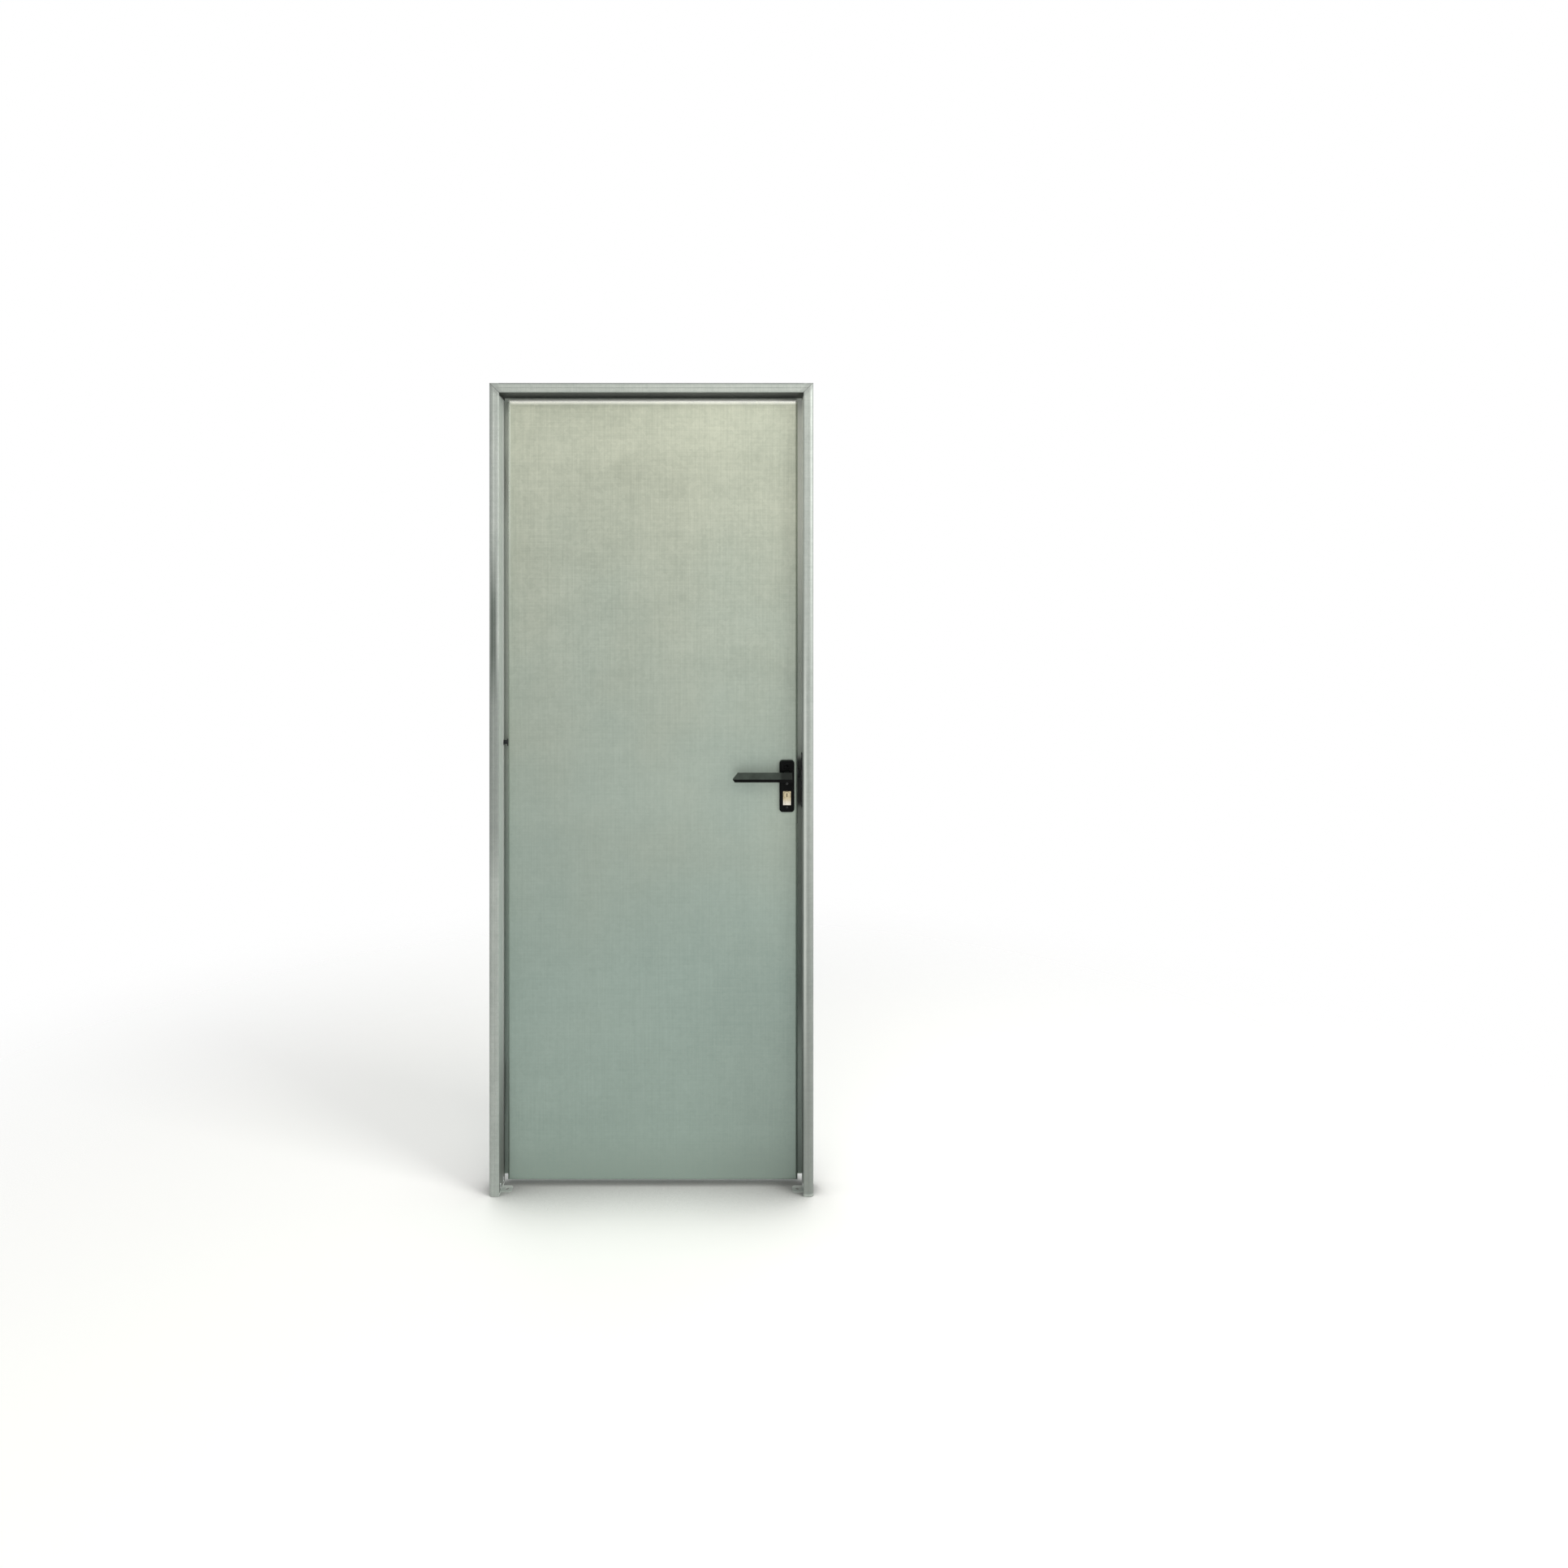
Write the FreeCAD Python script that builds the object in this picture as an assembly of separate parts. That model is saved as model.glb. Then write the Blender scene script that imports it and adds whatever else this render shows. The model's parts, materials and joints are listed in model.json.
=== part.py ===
"""Steel utility door: a galvanised single-leaf door in a three-sided folded steel frame.

Millimetres, +X to the right seen from the push side, +Y through the doorway, +Z up.
The origin is at floor level, under the fixing hole of the hinge jamb's foot tab, halfway
through the depth of the frame.
"""

import FreeCAD, Part
import math
import os

from FreeCAD import Vector

# Frame
FRAME_WIDTH = 800.0
FRAME_HEIGHT = 2005.0
FRAME_DEPTH = 68.0
FRAME_FACE = 25.0
FRAME_SHEET = 1.5
FRAME_BEND = 3.0
BEAD_RADIUS = 9.0
FRONT_LIP = 22.0
REAR_LIP = 17.0
GROOVE_WIDTH = 1.8
GROOVE_DEPTH = 0.7
GROOVE_INSET = 12.0

# Foot tabs and transport tie holes
FOOT_LENGTH = 26.0
FOOT_WIDTH = 30.0
FOOT_CORNER = 5.0
FOOT_RISE = 26.0
FOOT_NOTCH = 6.0
FOOT_HOLE = 9.0
TIE_HOLE = 8.0
TIE_HEIGHT = 20.0
TIE_INSET = 14.0

# Wall anchors
ANCHOR_WIDTH = 48.0
ANCHOR_HEIGHT = 34.0
ANCHOR_SHEET = 2.0
ANCHOR_HOLE = 9.0
ANCHOR_END_INSET = 300.0

# Leaf
LEAF_RECESS = 44.0
LEAF_THICKNESS = 38.0
LEAF_SHEET = 0.8
LEAF_EDGE = 6.0
LEAF_GAP = 12.0
HEAD_GAP = 5.5
FLOOR_GAP = 17.0
LAP = 8.0
LAP_CLEARANCE = 8.0
LAP_EDGE = 2.0

# Hinges
HINGE_INSET = 9.0
HINGE_SHEET = 2.5
KNUCKLE_RADIUS = 6.5
KNUCKLE_CLEARANCE = 0.5
KNUCKLE_WRAP = 300.0
FLAG_HEIGHT = 60.0
FRAME_FLAG_WIDTH = 13.0
LEAF_FLAG_WIDTH = 42.0
FLAG_GAP = 1.0
WASHER_CLEARANCE = 0.2
PIN_CLEARANCE = 0.05
PIN_HEAD = 2.5
HINGE_END_INSET = 235.0
CRANK_START = 1.0
CRANK_CLEARANCE = 0.5

# Dog bolt on the hinge edge
DOG_HEIGHT = 1113.0
DOG_RADIUS = 5.0
DOG_TIP_RADIUS = 3.0
DOG_TIP_LENGTH = 3.0
DOG_REACH = 4.0
DOG_PLATE = 18.0
DOG_PLATE_SHEET = 2.0
DOG_KEEPER_RADIUS = 8.0

# Lock
LOCK_DEPTH = 12.0
SPINDLE_HEIGHT = 1033.0
BACKSET = 27.0
CYLINDER_DROP = 50.0
FOREND_WIDTH = 18.0
FOREND_HEIGHT = 170.0
FOREND_SHEET = 3.0
FOREND_DROP = 38.0
FOREND_CLEARANCE = 0.2
CASE_DEPTH = 58.0
CASE_WIDTH = 15.0
CASE_HEIGHT = 150.0
CASE_SHEET = 1.5
CASE_HOLE_CLEARANCE = 1.0

# Latch bolt and dead bolt
LATCH_WIDTH = 10.0
LATCH_HEIGHT = 20.0
LATCH_REACH = 6.5
LATCH_TRAVEL = 6.5
LATCH_BEVEL = 4.5
BOLT_WIDTH = 10.0
BOLT_HEIGHT = 18.0
BOLT_LENGTH = 52.0
BOLT_SET_BACK = 0.5
BOLT_EDGE = 1.0
BOLT_DROP = 29.0
BOLT_CLEARANCE = 0.3

# Strike plate
STRIKE_WIDTH = 18.0
STRIKE_SHEET = 2.0
STRIKE_HEIGHT = 136.0
STRIKE_CORNER = 3.0
SLOT_CLEARANCE = 2.0
JAMB_SLOT_MARGIN = 0.8

# Handle plates
PLATE_WIDTH = 37.0
PLATE_HEIGHT = 130.0
PLATE_THICKNESS = 9.0
PLATE_CORNER = 8.0
PLATE_EDGE = 2.5
PLATE_RISE = 37.0
POCKET_WIDTH = 21.0
POCKET_END = 8.0
POCKET_DEPTH = 1.2
HUB_BRIDGE = 13.0

# Levers and spindle
LEVER_LENGTH = 135.0
LEVER_HEIGHT = 24.0
LEVER_DEPTH = 19.0
LEVER_STAND_OFF = 40.0
LEVER_RIDGE = 4.5
LEVER_TOP_SLOPE = 7.0
LEVER_FOOT_SLOPE = 4.0
LEVER_TIP_TOP = 13.0
LEVER_TIP_FOOT = 5.0
LEVER_EDGE = 1.5
NECK_RADIUS = 9.5
NECK_CLEARANCE = 0.1
SPINDLE_SIZE = 8.0
SPINDLE_CLEARANCE = 0.05
SPINDLE_GRIP = 22.0

# Lock cylinder
CYLINDER_RADIUS = 8.5
CYLINDER_STEM = 10.0
CYLINDER_HEIGHT = 33.0
CYLINDER_PROUD = 1.5
CYLINDER_CLEARANCE = 0.3
PLUG_RADIUS = 6.5
PLUG_LENGTH = 28.0
PLUG_CLEARANCE = 0.05
KEYWAY_WIDTH = 2.0
KEYWAY_HEIGHT = 8.5
KEYWAY_DEPTH = 20.0

# Planes shared by the pieces
hinge_wall = -(FRAME_FACE + FOOT_LENGTH / 2)
lock_wall = hinge_wall + FRAME_WIDTH
hinge_reveal = hinge_wall + FRAME_FACE
lock_reveal = lock_wall - FRAME_FACE
frame_front = -FRAME_DEPTH / 2
frame_back = FRAME_DEPTH / 2
leaf_left = hinge_reveal + LEAF_GAP
leaf_right = lock_reveal - LEAF_GAP
leaf_bottom = FLOOR_GAP
leaf_top = FRAME_HEIGHT - FRAME_FACE - HEAD_GAP
leaf_front = frame_front + LEAF_RECESS
leaf_back = leaf_front + LEAF_THICKNESS
lap_front = frame_back + LAP_CLEARANCE
lap_left = hinge_reveal - LAP
lap_right = lock_reveal + LAP
lap_top = FRAME_HEIGHT - FRAME_FACE + LAP
hinge_x = hinge_wall + HINGE_INSET
hinge_y = frame_back + KNUCKLE_CLEARANCE + KNUCKLE_RADIUS
pin_bore = KNUCKLE_RADIUS - HINGE_SHEET
lock_y = leaf_front + LOCK_DEPTH
spindle_x = leaf_right - BACKSET
cylinder_height = SPINDLE_HEIGHT - CYLINDER_DROP
leaf_middle = (leaf_front + leaf_back) / 2
strike_face = lock_reveal - STRIKE_SHEET
bolt_height = SPINDLE_HEIGHT - BOLT_DROP


def box(low, high):
    """Block between two opposite corners."""
    size = [b - a for a, b in zip(low, high)]
    return Part.makeBox(*size, Vector(*low))


def rod(start, direction, length, radius):
    """Round bar from a point along a direction."""
    return Part.makeCylinder(radius, length, Vector(*start), Vector(*direction))


def polygon(points):
    """Flat face with straight sides."""
    corners = [Vector(*point) for point in points]
    return Part.Face(Part.makePolygon(corners + corners[:1]))


def rounded_block(low, high, radius, axis):
    """Block whose four edges along one axis are rounded."""
    block = box(low, high)
    long_edges = [edge for edge in block.Edges if abs(edge.tangentAt(0).dot(axis)) > 0.9]
    return block.makeFillet(radius, long_edges)


def edges_on_plane(shape, axis, value):
    """Edges that lie wholly on the plane where one coordinate has a value."""
    low, high = axis + "Min", axis + "Max"
    return [
        edge
        for edge in shape.Edges
        if abs(getattr(edge.BoundBox, low) - value) < 1e-4
        and abs(getattr(edge.BoundBox, high) - value) < 1e-4
    ]


def mirrored_y(shape, plane):
    """Copy reflected to the other face of the leaf."""
    return shape.mirror(Vector(0, plane, 0), Vector(0, 1, 0))


def save(node, *solids):
    """Write one node, a single solid or several that stay apart."""
    shape = solids[0] if len(solids) == 1 else Part.makeCompound(list(solids))
    shape.exportStep(os.path.join("parts", node + ".step"))


def rounded_path(points, radii):
    """Line and arc edges along corner points, each inner corner rounded by its radius."""
    corners = [Vector(*point, 0) for point in points]
    edges = []
    start = corners[0]
    for before, corner, after, radius in zip(corners, corners[1:], corners[2:], radii):
        back = (before - corner).normalize()
        ahead = (after - corner).normalize()
        half = back.getAngle(ahead) / 2
        if radius == 0:
            edges.append(Part.makeLine(start, corner))
            start = corner
            continue
        reach = radius / math.tan(half)
        centre = corner + (back + ahead).normalize() * (radius / math.sin(half))
        middle = centre + (corner - centre).normalize() * radius
        leave, join = corner + back * reach, corner + ahead * reach
        edges.append(Part.makeLine(start, leave))
        edges.append(Part.Arc(leave, middle, join).toShape())
        start = join
    edges.append(Part.makeLine(start, corners[-1]))
    return edges


# The folded frame section, in a plane whose x runs from the wall into the doorway and y through it
def frame_section():
    groove_start = FRAME_FACE - GROOVE_INSET
    points = [
        (0, FRONT_LIP),
        (0, 0),
        (groove_start, 0),
        (groove_start + GROOVE_WIDTH / 2, GROOVE_DEPTH),
        (groove_start + GROOVE_WIDTH, 0),
        (FRAME_FACE, 0),
        (FRAME_FACE, FRAME_DEPTH),
        (0, FRAME_DEPTH),
        (0, FRAME_DEPTH - REAR_LIP),
    ]
    outer_radii = [BEAD_RADIUS, 0, 0, 0, FRAME_BEND, FRAME_BEND, FRAME_BEND]
    t = FRAME_SHEET
    inner_points = [
        (t, FRONT_LIP),
        (t, t),
        (groove_start - t / 4, t),
        (groove_start + GROOVE_WIDTH / 2, t + GROOVE_DEPTH),
        (groove_start + GROOVE_WIDTH + t / 4, t),
        (FRAME_FACE - t, t),
        (FRAME_FACE - t, FRAME_DEPTH - t),
        (t, FRAME_DEPTH - t),
        (t, FRAME_DEPTH - REAR_LIP),
    ]
    inner_radii = [max(radius - t, 0) for radius in outer_radii]
    outside = rounded_path(points, outer_radii)
    inside = rounded_path(inner_points, inner_radii)
    front_end = Part.makeLine(Vector(*inner_points[0], 0), Vector(*points[0], 0))
    rear_end = Part.makeLine(Vector(*points[-1], 0), Vector(*inner_points[-1], 0))
    wire = Part.Wire(Part.__sortEdges__(outside + [rear_end] + inside + [front_end]))
    return Part.Face(wire)


def frame_length(length):
    """Straight frame section standing on z = 0 with its wall side at x = 0 and front at y = 0."""
    return frame_section().extrude(Vector(0, 0, length))


def mitre_wedge(x, direction):
    """Space above the mitre plane that rises from the doorway's corner to the frame's outer corner."""
    reach = FRAME_WIDTH
    corner = (x, 0, FRAME_HEIGHT)
    inward = (x + direction * reach, 0, FRAME_HEIGHT - reach)
    above = (x + direction * reach, 0, FRAME_HEIGHT + reach)
    face = polygon([corner, inward, above])
    face.translate(Vector(0, frame_front - FRAME_DEPTH, 0))
    return face.extrude(Vector(0, 3 * FRAME_DEPTH, 0))


def foot_tab():
    """Angle behind the hinge jamb's reveal, whose foot reaches into the doorway through a notch."""
    t = FRAME_SHEET
    face_x = hinge_reveal - t
    root = face_x - t
    end = hinge_reveal + FOOT_LENGTH
    bend = FRAME_BEND
    outside = rounded_path([(root, FOOT_RISE), (root, 0), (end, 0)], [bend])
    inside = rounded_path([(end, t), (face_x, t), (face_x, FOOT_RISE)], [bend - t])
    top = Part.makeLine(Vector(face_x, FOOT_RISE, 0), Vector(root, FOOT_RISE, 0))
    tip = Part.makeLine(Vector(end, 0, 0), Vector(end, t, 0))
    face = Part.Face(Part.Wire(outside + [tip] + inside + [top]))
    face.rotate(Vector(0, 0, 0), Vector(1, 0, 0), 90)
    face.translate(Vector(0, FOOT_WIDTH / 2, 0))
    tab = face.extrude(Vector(0, -FOOT_WIDTH, 0))
    corners = [
        edge
        for edge in tab.Edges
        if abs(edge.BoundBox.XMin - end) < 1e-4
        and abs(edge.BoundBox.XMax - end) < 1e-4
        and edge.BoundBox.ZLength > t / 2
    ]
    tab = tab.makeChamfer(FOOT_CORNER, corners)
    return tab.cut(rod((0, 0, -t), (0, 0, 1), 3 * t, FOOT_HOLE / 2))


def jamb():
    """Hinge-side upright with its mitre, foot notch and tie hole, before the keeper hole."""
    post = frame_length(FRAME_HEIGHT)
    post.translate(Vector(hinge_wall, frame_front, 0))
    post = post.cut(mitre_wedge(hinge_wall, 1))
    half = FOOT_WIDTH / 2
    inner = hinge_reveal - FRAME_SHEET
    notch = box((inner - 1, -half, -1), (hinge_reveal + 1, half, FOOT_NOTCH))
    tie_start = (inner - 1, frame_front + TIE_INSET, TIE_HEIGHT)
    return post.cut(notch).cut(rod(tie_start, (1, 0, 0), FRAME_SHEET + 2, TIE_HOLE / 2))


def across_doorway(shape):
    """Copy reflected to the other jamb."""
    return shape.mirror(Vector((hinge_wall + lock_wall) / 2, 0, 0), Vector(1, 0, 0))


def hinge_jamb():
    start = (hinge_reveal - 2 * FRAME_SHEET, lock_y, DOG_HEIGHT)
    return jamb().cut(rod(start, (1, 0, 0), 3 * FRAME_SHEET, DOG_KEEPER_RADIUS))


def strike_slot(height_mid, width, height, x_from, x_to, margin):
    """Opening for a bolt, larger than the bolt by the slot clearance and a margin."""
    half_y = width / 2 + SLOT_CLEARANCE + margin
    half_z = height / 2 + SLOT_CLEARANCE + margin
    low = (x_from, lock_y - half_y, height_mid - half_z)
    high = (x_to, lock_y + half_y, height_mid + half_z)
    return box(low, high)


def lock_jamb():
    post = across_doorway(jamb())
    x_from, x_to = lock_reveal - 1, lock_reveal + FRAME_SHEET + 1
    latch = strike_slot(SPINDLE_HEIGHT, LATCH_WIDTH, LATCH_HEIGHT, x_from, x_to, JAMB_SLOT_MARGIN)
    bolt = strike_slot(bolt_height, BOLT_WIDTH, BOLT_HEIGHT, x_from, x_to, JAMB_SLOT_MARGIN)
    return post.cut(latch).cut(bolt)


def strike_plate():
    half = STRIKE_HEIGHT / 2
    middle = (SPINDLE_HEIGHT + bolt_height) / 2
    low = (strike_face, lock_y - STRIKE_WIDTH / 2, middle - half)
    high = (lock_reveal, lock_y + STRIKE_WIDTH / 2, middle + half)
    plate = rounded_block(low, high, STRIKE_CORNER, Vector(1, 0, 0))
    x_from, x_to = strike_face - 1, lock_reveal + 1
    latch = strike_slot(SPINDLE_HEIGHT, LATCH_WIDTH, LATCH_HEIGHT, x_from, x_to, 0)
    bolt = strike_slot(bolt_height, BOLT_WIDTH, BOLT_HEIGHT, x_from, x_to, 0)
    return plate.cut(latch).cut(bolt)


def frame_head():
    bar = frame_length(FRAME_WIDTH)
    bar.rotate(Vector(0, 0, 0), Vector(0, 1, 0), 90)
    bar.translate(Vector(hinge_wall, frame_front, FRAME_HEIGHT))
    below_left = mitre_wedge(hinge_wall, 1)
    below_right = mitre_wedge(lock_wall, -1)
    return bar.common(below_left).common(below_right)


def wall_anchor(height):
    """Strap across the open side of the hinge jamb, on the inner faces of both lips."""
    near = hinge_wall + FRAME_SHEET
    half_y, half_z = ANCHOR_WIDTH / 2, ANCHOR_HEIGHT / 2
    strap = box((near, -half_y, height - half_z), (near + ANCHOR_SHEET, half_y, height + half_z))
    return strap.cut(rod((near - 1, 0, height), (1, 0, 0), ANCHOR_SHEET + 2, ANCHOR_HOLE / 2))


def anchor_heights():
    return [ANCHOR_END_INSET, FRAME_HEIGHT / 2, FRAME_HEIGHT - ANCHOR_END_INSET]


# Euro profile: a round head with a straight stem below it
def euro_profile(x, y, clearance, length):
    head = CYLINDER_RADIUS + clearance
    half_stem = CYLINDER_STEM / 2 + clearance
    bottom = cylinder_height - (CYLINDER_HEIGHT - CYLINDER_RADIUS) - clearance
    column = rod((x, y, cylinder_height), (0, 1, 0), length, head)
    stem_low = (x - half_stem, y, bottom + half_stem)
    stem = box(stem_low, (x + half_stem, y + length, cylinder_height))
    foot = rod((x, y, bottom + half_stem), (0, 1, 0), length, half_stem)
    return column.fuse(stem).fuse(foot).removeSplitter()


def front_skin():
    """Deep folded tray: the push face and the leaf's four edges."""
    t = LEAF_SHEET
    back = leaf_back - t
    tray = box((leaf_left, leaf_front, leaf_bottom), (leaf_right, back, leaf_top))
    tray = tray.makeFillet(LEAF_EDGE, edges_on_plane(tray, "Y", leaf_front))
    low = (leaf_left + t, leaf_front + t, leaf_bottom + t)
    hollow = box(low, (leaf_right - t, back + t, leaf_top - t))
    hollow = hollow.makeFillet(LEAF_EDGE - t, edges_on_plane(hollow, "Y", leaf_front + t))
    tray = tray.cut(hollow)
    half_y, half_z = FOREND_WIDTH / 2, FOREND_HEIGHT / 2
    middle = SPINDLE_HEIGHT - FOREND_DROP
    edge_low = (leaf_right - LEAF_EDGE, lock_y - half_y, middle - half_z)
    edge_slot = box(edge_low, (leaf_right + t, lock_y + half_y, middle + half_z))
    return tray.cut(edge_slot).cut(handle_holes(leaf_front - t, 3 * t))


def handle_holes(start, length):
    """Spindle and cylinder holes through one face of the leaf."""
    follower = rod((spindle_x, start, SPINDLE_HEIGHT), (0, 1, 0), length, NECK_RADIUS)
    return follower.fuse(euro_profile(spindle_x, start, CYLINDER_CLEARANCE, length))


def back_skin():
    """Shallow pan: the pull face, whose rim laps over the frame on three sides."""
    t = LEAF_SHEET
    pan = box((lap_left, lap_front, leaf_bottom), (lap_right, leaf_back, lap_top))
    pan = pan.makeFillet(LAP_EDGE, edges_on_plane(pan, "Y", leaf_back))
    low = (lap_left + t, lap_front + t, leaf_bottom + t)
    hollow = box(low, (lap_right - t, leaf_back - t, lap_top - t))
    hollow = hollow.makeFillet(LAP_EDGE - t, edges_on_plane(hollow, "Y", leaf_back - t))
    body = box((leaf_left, lap_front - t, leaf_bottom - t), (leaf_right, leaf_back - t, leaf_top))
    return pan.cut(hollow).cut(body).cut(handle_holes(leaf_back - 2 * t, 3 * t))


def dog_bolt():
    """Fixed steel pin on a square plate on the hinge edge, that enters the jamb as the leaf closes."""
    tip = hinge_reveal - DOG_REACH
    cone = Part.makeCone(
        DOG_TIP_RADIUS, DOG_RADIUS, DOG_TIP_LENGTH, Vector(tip, lock_y, DOG_HEIGHT), Vector(1, 0, 0)
    )
    shank_start = tip + DOG_TIP_LENGTH
    shank = rod((shank_start, lock_y, DOG_HEIGHT), (1, 0, 0), leaf_left - shank_start, DOG_RADIUS)
    half = DOG_PLATE / 2
    low = (leaf_left - DOG_PLATE_SHEET, lock_y - half, DOG_HEIGHT - half)
    plate = box(low, (leaf_left, lock_y + half, DOG_HEIGHT + half))
    return cone.fuse(shank).fuse(plate).removeSplitter()


# Lift-off hinges: a flag on the frame carries the pin, a cranked flag on the leaf turns on it
def around_hinge(radius, degrees):
    turn = math.radians(degrees)
    return Vector(hinge_x + radius * math.cos(turn), hinge_y + radius * math.sin(turn), 0)


def curl(first_angle, wrap, radius):
    """Arc round the hinge axis from one angle through a wrap."""
    angles = (first_angle, first_angle + wrap / 2, first_angle + wrap)
    return Part.Arc(*[around_hinge(radius, angle) for angle in angles]).toShape()


def closed_profile(outer_line, outer_arc, inner_arc, inner_line):
    """Face of a strip that runs straight, then curls: outer side, then inner side."""
    end = outer_arc.Vertexes[-1].Point
    inner_end = inner_arc.Vertexes[-1].Point
    cap = Part.makeLine(end, inner_end)
    root = Part.makeLine(inner_line[-1], outer_line[0])
    edges = [Part.makeLine(a, b) for a, b in zip(outer_line, outer_line[1:])]
    edges += [outer_arc, cap, inner_arc]
    edges += [Part.makeLine(a, b) for a, b in zip(inner_line, inner_line[1:])]
    edges.append(root)
    return Part.Face(Part.Wire(Part.__sortEdges__(edges)))


def frame_flag(height):
    """Lower half: flat against the back of the frame, curled up around the pin."""
    far = hinge_x + FRAME_FLAG_WIDTH
    outer_line = [
        Vector(far, frame_back, 0),
        Vector(hinge_x, frame_back, 0),
        Vector(hinge_x, hinge_y - KNUCKLE_RADIUS, 0),
    ]
    inner_y = hinge_y - pin_bore
    inner_line = [Vector(hinge_x, inner_y, 0), Vector(far, inner_y, 0)]
    outer_arc = curl(-90, -KNUCKLE_WRAP, KNUCKLE_RADIUS)
    inner_arc = curl(-90, -KNUCKLE_WRAP, pin_bore)
    face = closed_profile(outer_line, outer_arc, inner_arc, inner_line)
    face.translate(Vector(0, 0, height - FLAG_GAP / 2 - FLAG_HEIGHT))
    return face.extrude(Vector(0, 0, FLAG_HEIGHT))


def leaf_flag(height):
    """Upper half: flat on the pull face, cranked down past the lap to the knuckle."""
    far = lap_left + LEAF_FLAG_WIDTH
    crank_end = lap_left - CRANK_CLEARANCE
    crank_start = hinge_x + CRANK_START
    plate_y = leaf_back + HINGE_SHEET
    knuckle_y = hinge_y + KNUCKLE_RADIUS
    outer_line = [
        Vector(far, plate_y, 0),
        Vector(crank_end, plate_y, 0),
        Vector(crank_start, knuckle_y, 0),
        Vector(hinge_x, knuckle_y, 0),
    ]
    inner_line = [
        Vector(hinge_x, hinge_y + pin_bore, 0),
        Vector(crank_start, hinge_y + pin_bore, 0),
        Vector(crank_end, leaf_back, 0),
        Vector(far, leaf_back, 0),
    ]
    outer_arc = curl(90, KNUCKLE_WRAP, KNUCKLE_RADIUS)
    inner_arc = curl(90, KNUCKLE_WRAP, pin_bore)
    face = closed_profile(outer_line, outer_arc, inner_arc, inner_line)
    face.translate(Vector(0, 0, height + FLAG_GAP / 2))
    return face.extrude(Vector(0, 0, FLAG_HEIGHT))


def hinge_pin(height):
    """Pin with a head under the lower knuckle and a washer between the two."""
    radius = pin_bore - PIN_CLEARANCE
    foot = height - FLAG_GAP / 2 - FLAG_HEIGHT
    length = 2 * FLAG_HEIGHT + FLAG_GAP
    shank = rod((hinge_x, hinge_y, foot), (0, 0, 1), length, radius)
    head = rod((hinge_x, hinge_y, foot - PIN_HEAD), (0, 0, 1), PIN_HEAD, KNUCKLE_RADIUS - HINGE_SHEET / 2)
    return shank.fuse(head).removeSplitter()


def hinge_washer(height):
    start = (hinge_x, hinge_y, height - FLAG_GAP / 2)
    thickness = FLAG_GAP - WASHER_CLEARANCE
    ring = rod(start, (0, 0, 1), thickness, KNUCKLE_RADIUS)
    return ring.cut(rod(start, (0, 0, 1), thickness, pin_bore))


def hinge_heights():
    return {"lower": HINGE_END_INSET, "upper": FRAME_HEIGHT - HINGE_END_INSET}


# Lock body in the leaf's edge
def lock_forend():
    half_y = FOREND_WIDTH / 2 - FOREND_CLEARANCE
    half_z = FOREND_HEIGHT / 2 - FOREND_CLEARANCE
    middle = SPINDLE_HEIGHT - FOREND_DROP
    low = (leaf_right - FOREND_SHEET, lock_y - half_y, middle - half_z)
    plate = box(low, (leaf_right, lock_y + half_y, middle + half_z))
    return plate.cut(bolt_passages(leaf_right - FOREND_SHEET - 1, leaf_right + 1))


def bolt_passages(x_from, x_to):
    """Close-fitting openings for the latch bolt and the dead bolt."""
    half_latch = LATCH_WIDTH / 2 + BOLT_CLEARANCE
    rise = LATCH_HEIGHT / 2 + BOLT_CLEARANCE
    low = (x_from, lock_y - half_latch, SPINDLE_HEIGHT - rise)
    latch = box(low, (x_to, lock_y + half_latch, SPINDLE_HEIGHT + rise))
    half_bolt = BOLT_WIDTH / 2 + BOLT_CLEARANCE
    rise = BOLT_HEIGHT / 2 + BOLT_CLEARANCE
    low = (x_from, lock_y - half_bolt, bolt_height - rise)
    return latch.fuse(box(low, (x_to, lock_y + half_bolt, bolt_height + rise)))


def lock_case():
    t = CASE_SHEET
    front = leaf_right - FOREND_SHEET
    back = front - CASE_DEPTH
    middle = SPINDLE_HEIGHT - FOREND_DROP
    half_y, half_z = CASE_WIDTH / 2, CASE_HEIGHT / 2
    case = box((back, lock_y - half_y, middle - half_z), (front, lock_y + half_y, middle + half_z))
    low = (back + t, lock_y - half_y + t, middle - half_z + t)
    hollow = box(low, (front - t, lock_y + half_y - t, middle + half_z - t))
    side = SPINDLE_SIZE
    follower_low = (spindle_x - side, lock_y - CASE_WIDTH, SPINDLE_HEIGHT - side)
    follower = box(follower_low, (spindle_x + side, lock_y + CASE_WIDTH, SPINDLE_HEIGHT + side))
    half_x = CYLINDER_RADIUS + CASE_HOLE_CLEARANCE
    window_top = cylinder_height + half_x
    window_foot = window_top - CYLINDER_HEIGHT - 2 * CASE_HOLE_CLEARANCE
    window_low = (spindle_x - half_x, lock_y - CASE_WIDTH, window_foot)
    window = box(window_low, (spindle_x + half_x, lock_y + CASE_WIDTH, window_top))
    case = case.cut(hollow).cut(follower).cut(window)
    return case.cut(bolt_passages(front - 2 * t, front + t))


def latch_bolt():
    """Bevelled latch: the slope faces the frame as the leaf closes."""
    tip = leaf_right + LATCH_REACH
    root = spindle_x + SPINDLE_SIZE + LATCH_TRAVEL
    half = LATCH_WIDTH / 2
    bottom = SPINDLE_HEIGHT - LATCH_HEIGHT / 2
    face = polygon(
        [
            (root, lock_y - half, bottom),
            (tip - LATCH_BEVEL, lock_y - half, bottom),
            (tip, lock_y + half - LATCH_BEVEL, bottom),
            (tip, lock_y + half, bottom),
            (root, lock_y + half, bottom),
        ]
    )
    return face.extrude(Vector(0, 0, LATCH_HEIGHT))


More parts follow.
